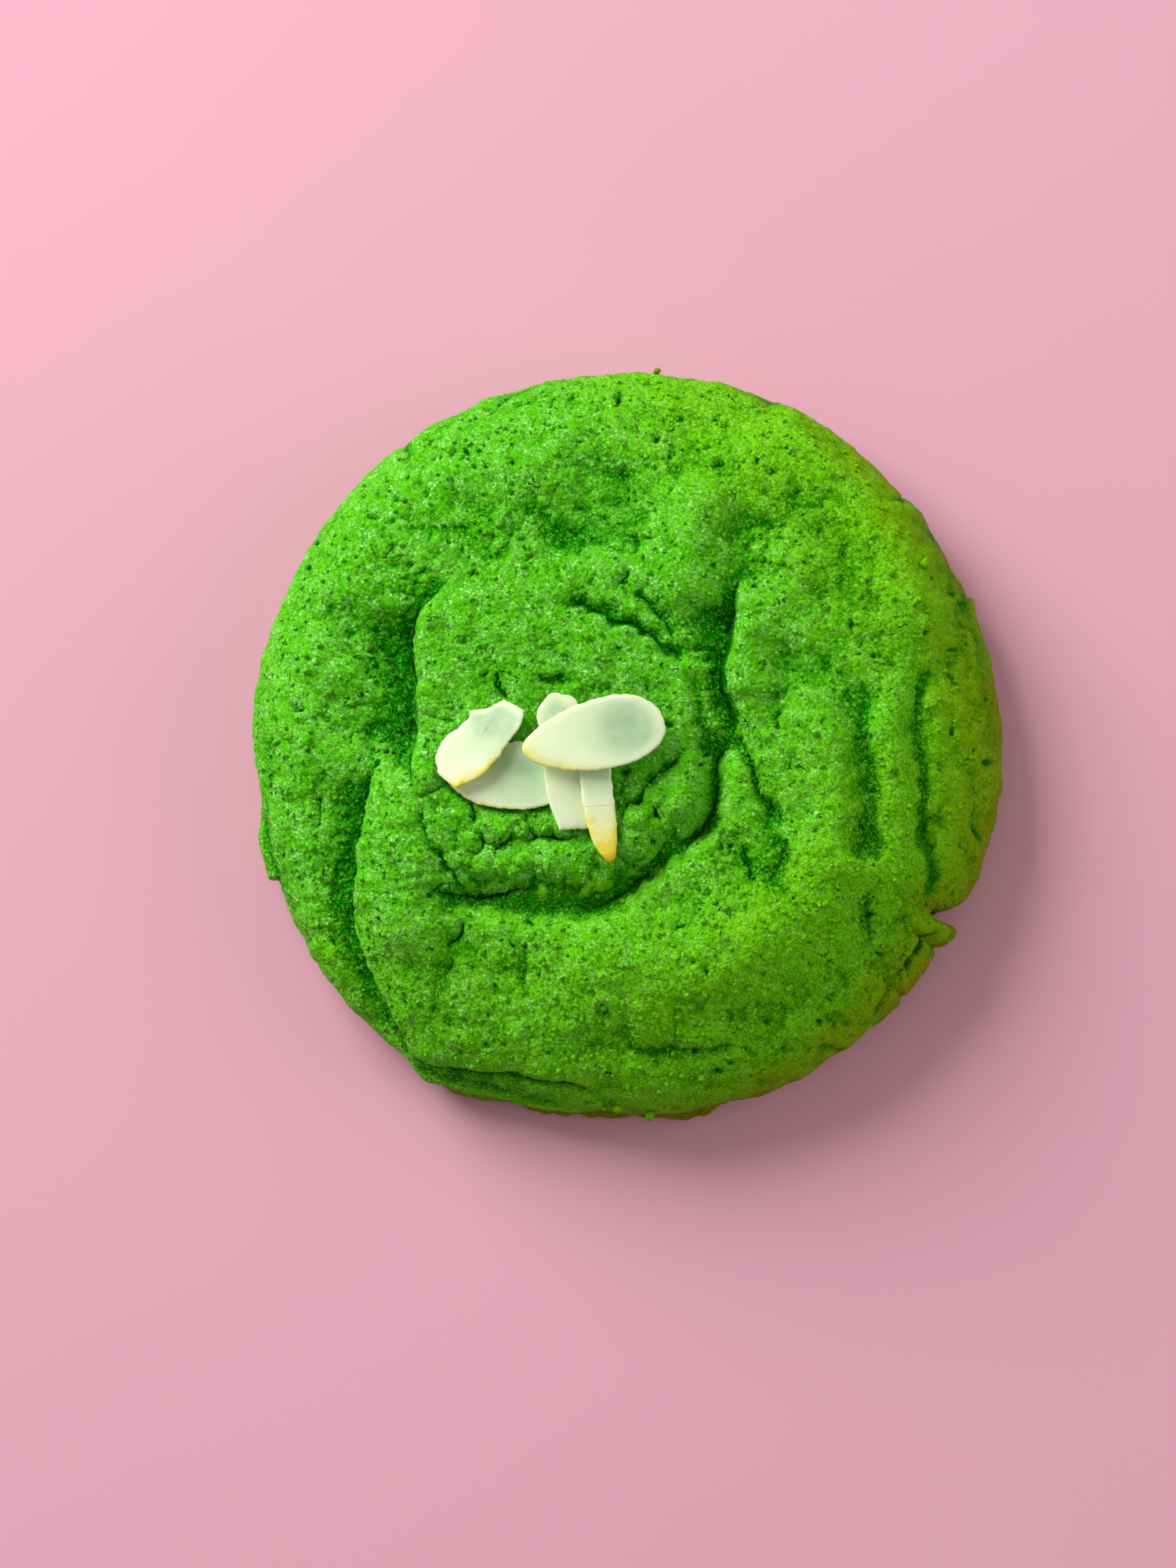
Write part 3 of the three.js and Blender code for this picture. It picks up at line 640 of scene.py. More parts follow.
def lumps(points, bent, dome):
    """The relief of the crumb: knobs of two sizes and fine unevenness. The knobs are higher
    towards the upper left rim and in the crumbled ridges under the almonds, and all of it is
    lower down the side."""
    LARGE, SMALL = 4.2, 2.1  # sizes of the knobs
    APART = 50.0  # a shift that keeps the two sizes from lining up
    upper_left = smoothstep(0.3, 0.7, np.cos(dome.angle - math.radians(155)))
    lumpy = smoothstep(28.0, 36.0, dome.over) * upper_left
    crumbly = patch(dome.plan, -9, -15, 19, 8)
    lump = knobs(bent, LARGE, 21) * (0.12 + 0.25 * lumpy + 0.9 * crumbly)
    lump += knobs(bent + APART, SMALL, 31) * (0.18 + 0.12 * lumpy + 0.3 * crumbly)
    lump += 0.12 * (noise(points, 1.8, 41) + noise(points, 0.9, 48) / 2)
    return lump * (0.25 + 0.75 * smoothstep(8.0, 15.5, dome.level))


def pore_depth(points):
    """The largest pits, and smaller ones at random places: each is a bell-shaped dent, drawn out in
    one direction. Gives the depth of the dents, and how close to a pit's middle each point lies, by
    which the material paints shade in the pits."""
    COUNT, SPREAD, REACH = 150, 52.0, 3.0
    rng = np.random.default_rng(5)
    direction = rng.uniform(0.0, 2.0 * math.pi, COUNT)
    distance = SPREAD * np.sqrt(rng.uniform(0.0, 1.0, COUNT))
    width = rng.uniform(0.22, 0.4, COUNT)
    pits = np.column_stack((
        distance * np.cos(direction), distance * np.sin(direction),
        width * rng.uniform(1.0, 2.8, COUNT), width,
        rng.uniform(0.0, 180.0, COUNT), rng.uniform(0.3, 0.8, COUNT),
    ))
    flat_x, flat_y, height = points.reshape(-1, 3).T
    dent, close = np.zeros((2, height.size))
    for x, y, long, wide, turn, depth in np.vstack((pits, PITS)):
        near = (np.abs(flat_x - x) < REACH) & (np.abs(flat_y - y) < REACH)
        near = np.nonzero(near & (height > GIRTH_HEIGHT))[0]
        to_x, to_y = flat_x[near] - x, flat_y[near] - y
        cosine, sine = math.cos(math.radians(turn)), math.sin(math.radians(turn))
        along, across = to_x * cosine + to_y * sine, to_y * cosine - to_x * sine
        bell = np.exp(-((along / long) ** 2) - (across / wide) ** 2)
        dent[near] = np.maximum(dent[near], depth * bell)
        close[near] = np.maximum(close[near], bell)
    return dent.reshape(points.shape[:-1]), close.reshape(points.shape[:-1])


def slice_plane(name):
    """The middle of a slice's CAD solid and its leaning plane: the rise for each step in x and y."""
    low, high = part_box(name)
    middle = np.array((low + high) / 2) / MM
    shape = SLICES[name]
    turn, roll, pitch = (math.radians(angle) for angle in (shape.heading, shape.roll, shape.pitch))
    endways, sideways = -math.tan(pitch), math.tan(roll)
    rise_x = endways * math.cos(turn) - sideways * math.sin(turn)
    rise_y = endways * math.sin(turn) + sideways * math.cos(turn)
    return middle, rise_x, rise_y


def height_on(plane, x, y):
    """The height of a leaning plane at places in plan."""
    middle, rise_x, rise_y = plane
    return middle[2] + rise_x * (x - middle[0]) + rise_y * (y - middle[1])


def press_under_slices(points, slice_thickness):
    """Lowers the points under each slice to just below its underside, and lets them rise again
    over a short slope round the slice."""
    CLEARANCE = 0.12  # below the slice
    MARGIN = 3.0  # round the slice, within which the dough is looked at
    LEVEL, SLOPE = 0.2, 0.9  # the slope starts at this distance, and rises this much each step
    x, y, height = points.reshape(-1, 3).T.copy()
    for name in SLICES:
        rim = slice_outline(name, 96)
        low, high = rim.min(0) - MARGIN, rim.max(0) + MARGIN
        near = (x > low[0]) & (x < high[0]) & (y > low[1]) & (y < high[1])
        places = np.stack((x[near], y[near]), -1)
        gaps = np.linalg.norm(places[:, None, :] - rim, axis=-1).min(1)
        gaps[inside_outline(places, rim)] = 0.0
        limit = height_on(slice_plane(name), x[near], y[near])
        limit += SLOPE * np.maximum(gaps - LEVEL, 0.0) - slice_thickness / 2 - CLEARANCE
        height[near] = np.minimum(height[near], limit)
    points[..., 2] = height.reshape(points.shape[:-1])


def dough_surface(settings, slice_thickness):
    """The dough's top and side as a grid of points in millimetres, with its colour measures.
    Lumps, and then grains and pits, are raised along the folded surface's own normal."""
    dome, points, unfolded, (drop, line, strength) = fold(plain_dome(), settings.fold_depth)
    normal = grid_normals(points)
    bent = points + 0.5 * np.stack([noise(points, 2.0, seed) for seed in (15, 16, 17)], -1)
    lump = settings.lump_height / MM * lumps(points, bent, dome) * grounded(dome.level)
    points = points + normal * lump[..., None]
    pits, pore = pore_depth(points)
    grain = (0.12 * knobs(bent, 1.15, 51) * settings.grain_depth - pits) * grounded(dome.level)
    points = points + normal * grain[..., None]
    press_under_slices(points, slice_thickness)
    points[..., 2] = np.maximum(points[..., 2], 0.0)
    # A strip under the coil is painted darker and warmer, with less painted sheen: painted shade,
    # added to the browning measure.
    under_coil_shade = patch(dome.plan, -8, -23.4, 11, 2.4)  # painted shade along the valley under the coil
    return points, {
        "hollow": hollowness(((points - unfolded) * normal).sum(-1), drop),
        "low": browning(dome) + 0.2 * under_coil_shade,
        "pore": pore,
        "moist_and_sheen": moisture_and_sheen(dome.plan) * (1.0 - 0.7 * under_coil_shade),
        "line": line,
        "strength": strength,
    }


def hollowness(raised, drop):
    """How deep in a hollow each point lies, from 0 to 1: how much less it is raised than its
    surroundings are, at a small and a larger scale, and more in a deep crease. The material paints
    shade by it."""
    small, large = blurred(raised, 2) - raised, blurred(raised, 9) - raised
    hollow = 0.35 + 1.2 * small + 0.65 * large + 0.35 * smoothstep(0.4, 1.3, drop)
    return np.clip(hollow, 0.0, 1.0)


def browning(dome):
    """How far each point has turned olive, and then brown: a little at the right rim, more down
    the side, from higher up on the right, and on the foot."""
    rightward = np.cos(dome.angle)
    start = 54.0 - 10.0 * smoothstep(0.2, 1.0, rightward) + 2.0 * noise(dome.plan, 8.0, 7)
    low = 0.3 * smoothstep(start, start + 4.0, dome.over) * smoothstep(-0.1, 0.45, rightward)
    right = smoothstep(-0.2, 0.8, np.cos(dome.angle - math.radians(-20)))
    low += 0.7 * smoothstep(58.0 - 10.0 * right, 73.0 - 9.0 * right, dome.over)
    return low + 0.6 * ledges(dome, FOOT)


def moisture_and_sheen(plan):
    """How moist the dough is, and how much cool sheen is painted on it, from 0 to 1: moist on the
    left and at the top, towards the key light, and drier towards the lower right, the upper right and
    the bottom. Drier dough is warmer in tone, and the cool sheen is painted light."""
    x, y = plan[..., 0], plan[..., 1]
    down_right = (x - y) * math.sqrt(0.5) + 6.0 * noise(plan, 14.0, 6)
    moist_and_sheen = 0.5 * smoothstep(37.0, -2.0, down_right) + 0.5 * smoothstep(34.0, 25.0, down_right)
    moist_and_sheen *= smoothstep(46.0, 22.0, (x + y) * math.sqrt(0.5))
    return moist_and_sheen * (1.0 - 0.4 * smoothstep(-20.0, -34.0, y))


def dough_mesh(settings, slice_thickness):
    """The dough as vertices, faces and colour measures. Under the grid of its top and side, the
    base is closed by rings of the grid's border, each nearer to the middle, down to one point.
    Away from its edge the base lies up to a quarter of a millimetre up, as noise has it."""
    points, measures = dough_surface(settings, slice_thickness)
    size = GRID + 1
    index = np.arange(size * size).reshape(size, size)
    faces = [np.stack((index[:-1, :-1], index[1:, :-1], index[1:, 1:], index[:-1, 1:]), -1)]
    border = np.concatenate((index[:-1, 0], index[-1, :-1], index[:0:-1, -1], index[0, :0:-1]))
    flat = points.reshape(-1, 3)
    inward = np.arange(1, BASE_RINGS)[:, None] / BASE_RINGS
    rings = flat[border][None] * (1.0 - inward[..., None])
    rings[..., 2] = BASE_RISE * (1.0 + noise(rings, 3.0, 71)) * smoothstep(0.0, 0.2, inward)
    ring_index = flat.shape[0] + np.arange(rings.size // 3).reshape(rings.shape[:2])
    loops = np.vstack((border, ring_index))
    ahead = np.roll(loops, -1, axis=1)
    faces.append(np.stack((loops[:-1], loops[1:], ahead[1:], ahead[:-1]), -1))
    vertices = np.vstack((flat, rings.reshape(-1, 3), (0.0, 0.0, 0.1)))
    fan = np.stack((loops[-1], np.full(len(border), len(vertices) - 1), ahead[-1]), -1)
    extra = len(vertices) - len(flat)
    measures = {
        name: np.append(values.ravel(), np.full(extra, BASE_MEASURES[name]))
        for name, values in measures.items()
    }
    return vertices, [np.concatenate([part.reshape(-1, 4) for part in faces]), fan], measures


# ---- Shape of the almond slices -------------------------------------------------------------

def slice_outline(name, count):
    """A slice's outline as evenly spaced points of a smooth closed curve, anticlockwise."""
    corners = SLICES[name].outline
    overlap = 3
    curve = smooth_path((*corners[-overlap:], *corners, *corners[:overlap]), 0.2)
    from_start = np.linalg.norm(curve - corners[0], axis=1)
    half = len(curve) // 2
    closed = curve[from_start[:half].argmin():len(curve) - from_start[::-1][:half].argmin()]
    length = np.append(0.0, np.cumsum(np.linalg.norm(np.diff(closed, axis=0), axis=1)))
    even = np.linspace(0.0, length[-1], count, endpoint=False)
    rim = np.stack([np.interp(even, length, closed[:, axis]) for axis in (0, 1)], -1)
    ahead = np.roll(rim, -1, axis=0)
    clockwise = (rim[:, 0] * ahead[:, 1] - rim[:, 1] * ahead[:, 0]).sum() < 0.0
    return rim[::-1] if clockwise else rim


def slice_mesh(name, thickness):
    """A slice as vertices, faces and colour measures. Its surface runs from the middle of the top
    over the edge to the middle of the underside, along rays to the outline. Its thickness falls
    off towards the edge as a superellipse. Noise makes its outline ragged and its faces uneven,
    and it curls up a little at its sides, as a parabola."""
    AROUND, ROWS = 160, 29
    ROUNDNESS, FLATNESS = 0.55, 0.45  # exponents of the superellipse
    RAGGED = ((1.1, 0.16), (0.5, 0.10))  # swells of the outline: size and reach
    CURL = 0.012  # rise at 1 mm from the long axis
    shape = SLICES[name]
    seed = 200 + 10 * list(SLICES).index(name)
    plane = slice_plane(name)
    rim = slice_outline(name, AROUND)
    centre = rim.mean(0)
    turn = np.linspace(0.0, math.pi, ROWS + 2)[1:-1]
    out = np.sin(turn) ** ROUNDNESS
    up = np.sign(np.cos(turn)) * np.abs(np.cos(turn)) ** FLATNESS

    ragged = swells(np.column_stack((rim, np.zeros(AROUND))), RAGGED, seed)
    ray = rim - centre
    ray *= 1.0 + (ragged / np.linalg.norm(ray, axis=1))[:, None]
    x = centre[0] + out[:, None] * ray[:, 0]
    y = centre[1] + out[:, None] * ray[:, 1]
    flat = np.stack((x, y, np.zeros_like(x)), -1)
    half = 0.5 * thickness * up[:, None] * (1.0 + 0.16 * noise(flat, 5.0, seed + 2))
    heading = math.radians(shape.heading)
    across = (y - centre[1]) * math.cos(heading) - (x - centre[0]) * math.sin(heading)
    curl = CURL * across**2 + 0.06 * noise(flat, 3.0, seed + 3)
    grid = np.stack((x, y, height_on(plane, x, y) + half + curl), -1)
    pole = [*centre, height_on(plane, *centre)]
    lift = np.array((0.0, 0.0, thickness / 2))
    vertices = np.vstack((grid.reshape(-1, 3), pole + lift, pole - lift))

    plan = vertices[:, :2]
    edge = np.append(np.repeat(out, AROUND), (0.0, 0.0))
    toast, past_crack = slice_toast(name, plan, centre, edge)
    *spot, radius, strength = shape.clear
    thin = strength * np.exp(-((np.linalg.norm(plan - spot, axis=1) / radius) ** 2))
    return vertices, ball_faces(ROWS, AROUND), {
        "edge": edge**2, "toast": toast, "thin": thin, "past_crack": past_crack
    }


def slice_toast(name, plan, centre, edge):
    """How toasted a slice is, and how far past a hair crack each of its points lies. A slice is
    toasted towards one side, most at its edge, but the browned slice past its crack, in steps."""
    shape = SLICES[name]
    if name != "almond_browned":
        facing = math.radians(shape.toward)
        forward = (plan - centre) @ (math.cos(facing), math.sin(facing))
        side = smoothstep(0.25, 1.0, forward / forward.max())
        return shape.toast * side * (0.25 + 0.75 * edge**4), np.full(len(plan), 9.0)
    past = HAIR_CRACK + 0.08 * (plan[:, 0] - centre[0]) - plan[:, 1]
    toast = 0.14 * smoothstep(-0.1, 0.4, past) + 0.26 * smoothstep(0.8, 3.0, past)
    toast += 0.45 * smoothstep(5.0, 7.8, past)
    return toast * (0.8 + 0.5 * edge**4), past


# ---- Shape of the loose crumbs --------------------------------------------------------------

def crumb_mesh(middles, radii, measures):
    """Knobbly crumbs as one mesh. Each is a small ball of rings, whose radius swells and shrinks
    with noise. Their middles and radii are in millimetres, and each has its own measures."""
    AROUND, ROWS = 7, 4
    KNOBBLY = 0.4  # how far the radius swells and shrinks, as a share
    turn = np.linspace(0.0, math.pi, ROWS + 2)[1:-1]
    around = np.arange(AROUND) / AROUND * 2.0 * math.pi
    ball = np.stack((
        np.outer(np.sin(turn), np.cos(around)),
        np.outer(np.sin(turn), np.sin(around)),
        np.outer(np.cos(turn), np.ones(AROUND)),
    ), -1).reshape(-1, 3)
    ball = np.vstack((ball, (0, 0, 1), (0, 0, -1)))
    offset = np.arange(len(middles))[:, None, None] * len(ball)
    swelling = 1.0 + KNOBBLY * noise(ball + 9.0 * offset, 0.9, 91)
    vertices = middles[:, None, :] + ball * swelling[..., None] * radii[:, None, None]
    return (
        vertices.reshape(-1, 3),
        [(faces + offset).reshape(-1, faces.shape[1]) for faces in ball_faces(ROWS, AROUND)],
        {name: np.repeat(values, len(ball)) for name, values in measures.items()},
    )


def read_mesh(data, attribute, width):
    """One attribute of all items of a mesh's data, as an array of rows."""
    values = np.empty(width * len(data), np.float32)
    data.foreach_get(attribute, values)
    return values.reshape(-1, width)


def crumb_places(mesh):
    """Where crumbs cling to the dough: at random vertices of its top, and at the largest crumbs'
    own places. Gives their middles and radii in millimetres, and the measures of the dough under
    them. The largest crumbs stand out more, and have their own browning."""
    UPWARD = 0.6  # the least upward part of a normal on the top
    OUT = (0.3, 0.8)  # how far out a middle lies, in radii: of common and of large crumbs
    vertices = read_mesh(mesh.vertices, "co", 3) / MM
    normals = read_mesh(mesh.vertices, "normal", 3)
    rng = np.random.default_rng(23)
    open_top = np.nonzero((normals[:, 2] > UPWARD) & ~under_slices(vertices))[0]
    chosen = rng.choice(open_top, CRUMB_COUNT, replace=False)
    radii = CRUMB_RADIUS * rng.lognormal(0.0, 0.3, CRUMB_COUNT)
    for x, y, z, radius, _ in LARGE_CRUMBS:
        chosen = np.append(chosen, np.linalg.norm(vertices - (x, y, z), axis=1).argmin())
        radii = np.append(radii, radius)
    measures = {
        name: read_mesh(mesh.attributes[name].data, "value", 1)[chosen, 0] for name in BASE_MEASURES
    }
    large = len(LARGE_CRUMBS)
    for name in ("hollow", "strength", "pore"):
        measures[name][-large:] = 0.0
    measures["low"][-large:] = [browning for *_, browning in LARGE_CRUMBS]
    out = np.repeat(OUT, (CRUMB_COUNT, large))
    return vertices[chosen] + (out * radii)[:, None] * normals[chosen], radii, measures


def under_slices(vertices):
    """Which points lie under an almond slice, or close beside one."""
    covered = np.zeros(len(vertices), bool)
    for name in SLICES:
        rim = slice_outline(name, 48)
        centre = rim.mean(0)
        covered |= inside_outline(vertices[:, :2], centre + 1.15 * (rim - centre))
    return covered


# ---- Meshes ---------------------------------------------------------------------------------

def add_piece(name, shape, material, replaced=()):
    """Makes a smooth mesh object from vertices in millimetres, lists of faces and measures for
    each vertex, and sets it on the cookie's one body."""
    vertices, face_lists, measures = shape
    mesh = bpy.data.meshes.new(name)
    corners = np.concatenate([faces.ravel() for faces in face_lists]).astype(np.int32)
    counts = np.concatenate([np.full(len(faces), faces.shape[1]) for faces in face_lists])
    starts = np.append(0, np.cumsum(counts)[:-1]).astype(np.int32)
    mesh.vertices.add(len(vertices))
    mesh.vertices.foreach_set("co", (vertices * MM).astype(np.float32).ravel())
    mesh.loops.add(len(corners))
    mesh.loops.foreach_set("vertex_index", corners)
    mesh.polygons.add(len(counts))
    mesh.polygons.foreach_set("loop_start", starts)
    mesh.update(calc_edges=True)
    mesh.shade_smooth()
    for label, values in measures.items():
        attribute = mesh.attributes.new(label, "FLOAT", "POINT")
        attribute.data.foreach_set("value", values.astype(np.float32))
    if mesh.validate():
        raise RuntimeError(f"{name} has faces that aren't valid")
    mesh.materials.append(material)
    piece = bpy.data.objects.new(name, mesh)
    bpy.context.scene.collection.objects.link(piece)
    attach(piece, "root")
    if replaced:
        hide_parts(*replaced)


# ---- Parts of a material --------------------------------------------------------------------

def set_input(tree, socket, value):
    """Links a socket to another one, or sets its value."""
    if isinstance(value, bpy.types.NodeSocket):
        tree.links.new(value, socket)
    else:
        socket.default_value = value


def add_node(tree, kind, inputs=None, **options):
    """Adds a shader node with its options. An input is a socket to link, or a value to set."""
    node = tree.nodes.new("ShaderNode" + kind)
    for option, value in options.items():
        setattr(node, option, value)
    for socket, value in (inputs or {}).items():
        set_input(tree, node.inputs[socket], value)
    return node


def blank_material(name):
    """A material with only its Principled shader and output. Gives its tree, its shader and the
    piece's own coordinates too."""
    material = bpy.data.materials.new(name)
    material.use_nodes = True
    tree = material.node_tree
    tree.nodes.clear()
    shader = add_node(tree, "BsdfPrincipled")
    add_node(tree, "OutputMaterial", {"Surface": shader.outputs["BSDF"]})
    return material, tree, shader, add_node(tree, "TexCoord").outputs["Object"]


def set_shader(tree, shader, inputs):
    """Links or sets the shader's inputs by name."""
    for name, value in inputs.items():
        set_input(tree, shader.inputs[name], value)


def measure(tree, name):
    """The output of one of the mesh's measures."""
    return add_node(tree, "Attribute", attribute_name=name).outputs["Fac"]


def ramp(tree, value, low, high, start=0.0, end=1.0):
    """A value brought from the range low to high into the range start to end, and kept there."""
    return add_node(tree, "MapRange", {0: value, 1: low, 2: high, 3: start, 4: end}).outputs[0]


def tint(tree, share, first, second):
    """The first colour with a share of the second mixed in."""
    SHARE, FIRST, SECOND, RESULT = 0, 6, 7, 2  # the sockets that a mix of colours uses
    node = add_node(tree, "Mix", data_type="RGBA", clamp_factor=True)
    for socket, value in ((SHARE, share), (FIRST, first), (SECOND, second)):
        set_input(tree, node.inputs[socket], value)
    return node.outputs[RESULT]


def maths(tree, operation, *values):
    """One or two values put through a Math node."""
    return add_node(tree, "Math", dict(enumerate(values)), operation=operation).outputs[0]


def times(tree, first, second):
    """The product of two values."""
    return maths(tree, "MULTIPLY", first, second)


def plus(tree, *values):
    """The sum of values."""
    total, *others = values
    for value in others:
        total = maths(tree, "ADD", total, value)
    return total


def vectors(tree, operation, first, second, output=0):
    """Two vectors put through a Vector Math node."""
    return add_node(tree, "VectorMath", {0: first, 1: second}, operation=operation).outputs[output]


def speckle(tree, where, size, detail=2.0, roughness=0.5):
    """Noise with swells of a size in millimetres, from 0 to 1."""
    inputs = {"Vector": where, "Scale": 1.0 / (size * MM), "Detail": detail, "Roughness": roughness}
    return add_node(tree, "TexNoise", inputs).outputs[0]


def wavering(tree, where, size, reach):
    """Places shifted by noise with swells of a size, by up to half the reach, in millimetres."""
    inputs = {"Vector": where, "Scale": 1.0 / (size * MM), "Detail": 2.0}
    turn = add_node(tree, "TexNoise", inputs).outputs["Color"]
    scaled = {0: turn, "Scale": reach * MM}
    shift = add_node(tree, "VectorMath", scaled, operation="SCALE").outputs[0]
    return vectors(tree, "ADD", where, shift)


def cells(tree, where, size, feature="F1"):
    """The outputs of a Voronoi texture with cells of a size in millimetres."""
    inputs = {"Vector": where, "Scale": 1.0 / (size * MM)}
    return add_node(tree, "TexVoronoi", inputs, feature=feature).outputs


def grains(tree, where, size, reach):
    """Rounded cells with wavering borders, from 0 between them to 1 on top."""
    away = cells(tree, wavering(tree, where, size, reach), size)["Distance"]
    return ramp(tree, times(tree, away, away), 0.5, 0.0)


def chips(tree, where, size, reach):
    """Flakes with wavering borders, each with its own random value from 0 to 1."""
    return cells(tree, wavering(tree, where, size, reach), size)["Color"]


def facets(tree, where, size, reach):
    """Flat flakes with wavering borders, each tilted its own way: the scalar product of a random
    vector and the way from the flake's middle, as a share of the size."""
    where = wavering(tree, where, size, reach)
    flake = cells(tree, where, size)
    tilt = vectors(tree, "SUBTRACT", flake["Color"], (0.5, 0.5, 0.5))
    way = vectors(tree, "SUBTRACT", where, flake["Position"])
    return times(tree, vectors(tree, "DOT_PRODUCT", tilt, way, "Value"), 1.0 / (size * MM))


def cracks(tree, where, size, width):
    """Short cracks, 1 in their middles: the wavering borders of cells of a size in millimetres,
    where a patchy noise allows them. Their half width is a share of the size."""
    bent = wavering(tree, where, 0.6 * size, 0.9 * size)
    from_border = cells(tree, bent, size, "DISTANCE_TO_EDGE")["Distance"]
    allowed = ramp(tree, speckle(tree, where, 0.8 * size), 0.63, 0.68)
    return times(tree, ramp(tree, from_border, width, 0.3 * width), allowed)


def bump(tree, height, depth, strength=1.0):
    """A normal bent by relief, of a depth in millimetres for each step of height."""
    inputs = {"Height": height, "Strength": strength, "Distance": depth * MM}
    return add_node(tree, "Bump", inputs).outputs[0]


# ---- Materials ------------------------------------------------------------------------------

def dough_material(settings):
    """Baked pandan dough: its broad colours, its grain over them, and then its cracks, creases and
    pores. Shade in hollows, creases, pores and between grains, highlights and glints on grain tops,
    and a cool sheen towards the key light are painted into the colour. The grain stands out less
    where the dough is baked brown."""
    material, tree, shader, where = blank_material("pandan_dough")
    # Moist dough towards the key light gets a painted cool sheen and more painted glints. Drier dough
    # is warmer in tone.
    moist_and_sheen = measure(tree, "moist_and_sheen")
    fresh = tint(tree, moist_and_sheen, settings.warm_green, settings.fresh_sheen_green)
    # Deep green: the colour of painted shade, and of random darker patches.
    deep_shade = tint(tree, moist_and_sheen, settings.warm_deep_shade, settings.deep_shade_green)
    pale_highlight = tint(tree, moist_and_sheen, settings.warm_pale_highlight, settings.pale_sheen_green)
    # Painted shade: the hollows are tinted towards the deep green.
    hollow = ramp(tree, measure(tree, "hollow"), 0.36, 0.95)
    patches = ramp(tree, speckle(tree, where, 11.0, 4.0), 0.3, 0.7, 0.7, 1.25)
    baked = times(tree, measure(tree, "low"), patches)
    # Clusters where painted glints gather.
    glint_clusters = ramp(tree, speckle(tree, where, 2.0, 5.0, 0.65), 0.46, 0.6)
    glint_clusters = times(tree, glint_clusters, ramp(tree, moist_and_sheen, 0.0, 1.0, 0.25, 1.0))
    glint_clusters = times(tree, glint_clusters, ramp(tree, hollow, 0.0, 0.6, 1.0, 0.0))

    # Broad patches, paler and deeper, a faint painted glint in clusters, then the browning and
    # painted shade in the hollows.
    mottle = ramp(tree, speckle(tree, where, 7.0, 4.0), 0.38, 0.65, 0.0, 0.2)
    colour = tint(tree, mottle, fresh, pale_highlight)
    shade = ramp(tree, speckle(tree, where, 5.0), 0.5, 0.68, 0.0, 0.1)
    colour = tint(tree, shade, colour, deep_shade)
    colour = tint(tree, times(tree, glint_clusters, 0.12), colour, settings.glint)
    colour = tint(tree, ramp(tree, baked, 0.03, 0.45, 0.0, 0.85), colour, settings.olive)
    colour = tint(tree, ramp(tree, baked, 0.5, 1.0, 0.0, 0.9), colour, settings.brown)
    # Painted shade in the hollows.
    colour = tint(tree, hollow, colour, deep_shade)

    # Grains and flakes, with painted highlight on top and painted shade between. In clusters on moist
    # dough, away from hollows, their tops get painted glints.
    rounded = times(tree, grains(tree, where, 0.5, 0.45), 0.3)
    flaky = times(tree, chips(tree, where, 0.4, 0.5), 0.5)
    fine = speckle(tree, where, 0.36, 2.0, 0.6)
    relief = plus(tree, rounded, flaky, times(tree, fine, 1.4))
    even = ramp(tree, baked, 0.02, 0.35, 1.0, 0.4)
    # Painted shade on the low parts of the grain.
    low_parts = times(tree, ramp(tree, relief, 0.7, 0.97, 0.45, 0.0), even)
    colour = tint(tree, low_parts, colour, deep_shade)
    # Painted highlight on the high parts of the grain.
    high_parts = times(tree, ramp(tree, relief, 1.08, 1.41, 0.0, 0.6), even)
    colour = tint(tree, high_parts, colour, pale_highlight)
    # Painted glints on the tops of grains.
    tops = times(tree, ramp(tree, fine, 0.52, 0.64), ramp(tree, relief, 1.03, 1.31))
    tops = times(tree, times(tree, tops, even), ramp(tree, glint_clusters, 0.0, 1.0, 0.08, 1.0))
    colour = tint(tree, tops, colour, settings.glint)
    # Painted shade between the grains.
    between = times(tree, ramp(tree, fine, 0.4, 0.33, 0.0, 0.25), even)
    colour = tint(tree, between, colour, settings.gap)

    # Short cracks between lumps, of two sizes, then painted shade in the creases and pores.
    short = maths(tree, "MAXIMUM", cracks(tree, where, 2.1, 0.06), cracks(tree, where, 4.4, 0.035))
    # Painted shade along the creases, which also dents the bump.
    crease = crease_shade_line(tree, where)
    # The dark of real cracks, and painted shade along the creases.
    dark = maths(tree, "MAXIMUM", times(tree, short, even), crease)
    colour = tint(tree, times(tree, dark, 0.95), colour, settings.gap)
    # Painted shade in the pits.
    pore = ramp(tree, measure(tree, "pore"), 0.4, 0.9, 0.0, 0.9)
    colour = tint(tree, pore, colour, settings.gap)

    flat_flakes = times(tree, facets(tree, where, 1.2, 0.9), 0.4)
    tilted = plus(tree, flat_flakes, facets(tree, where, 0.5, 0.4))
    height = plus(tree, relief, times(tree, crease, -0.8), times(tree, tilted, 2.5))
    height = plus(tree, height, times(tree, fine, -0.3))
    set_shader(tree, shader, {
        "Base Color": colour,
        "Roughness": ramp(tree, fine, 0.4, 0.62, 0.55, 0.3),
        "Specular IOR Level": 0.015,
        "Specular Tint": (0.7, 1.0, 0.05, 1.0),
        "Normal": bump(tree, height, 0.16),
    })
    return material


def crease_shade_line(tree, where):
    """Painted shade along the middles of the creases: ragged, broken, and wider where a crease is
    stronger.
    """
    ragged = ramp(tree, speckle(tree, where, 0.9, 3.0), 0.3, 0.7, -0.4, 0.4)
    away = maths(tree, "ABSOLUTE", plus(tree, measure(tree, "line"), ragged))
    broken = ramp(tree, speckle(tree, where, 3.0), 0.35, 0.6, 0.55, 1.05)
    strength = times(tree, measure(tree, "strength"), broken)
    return ramp(tree, plus(tree, strength, times(tree, away, -1.7)), 0.1, 0.9, 0.0, 0.9)


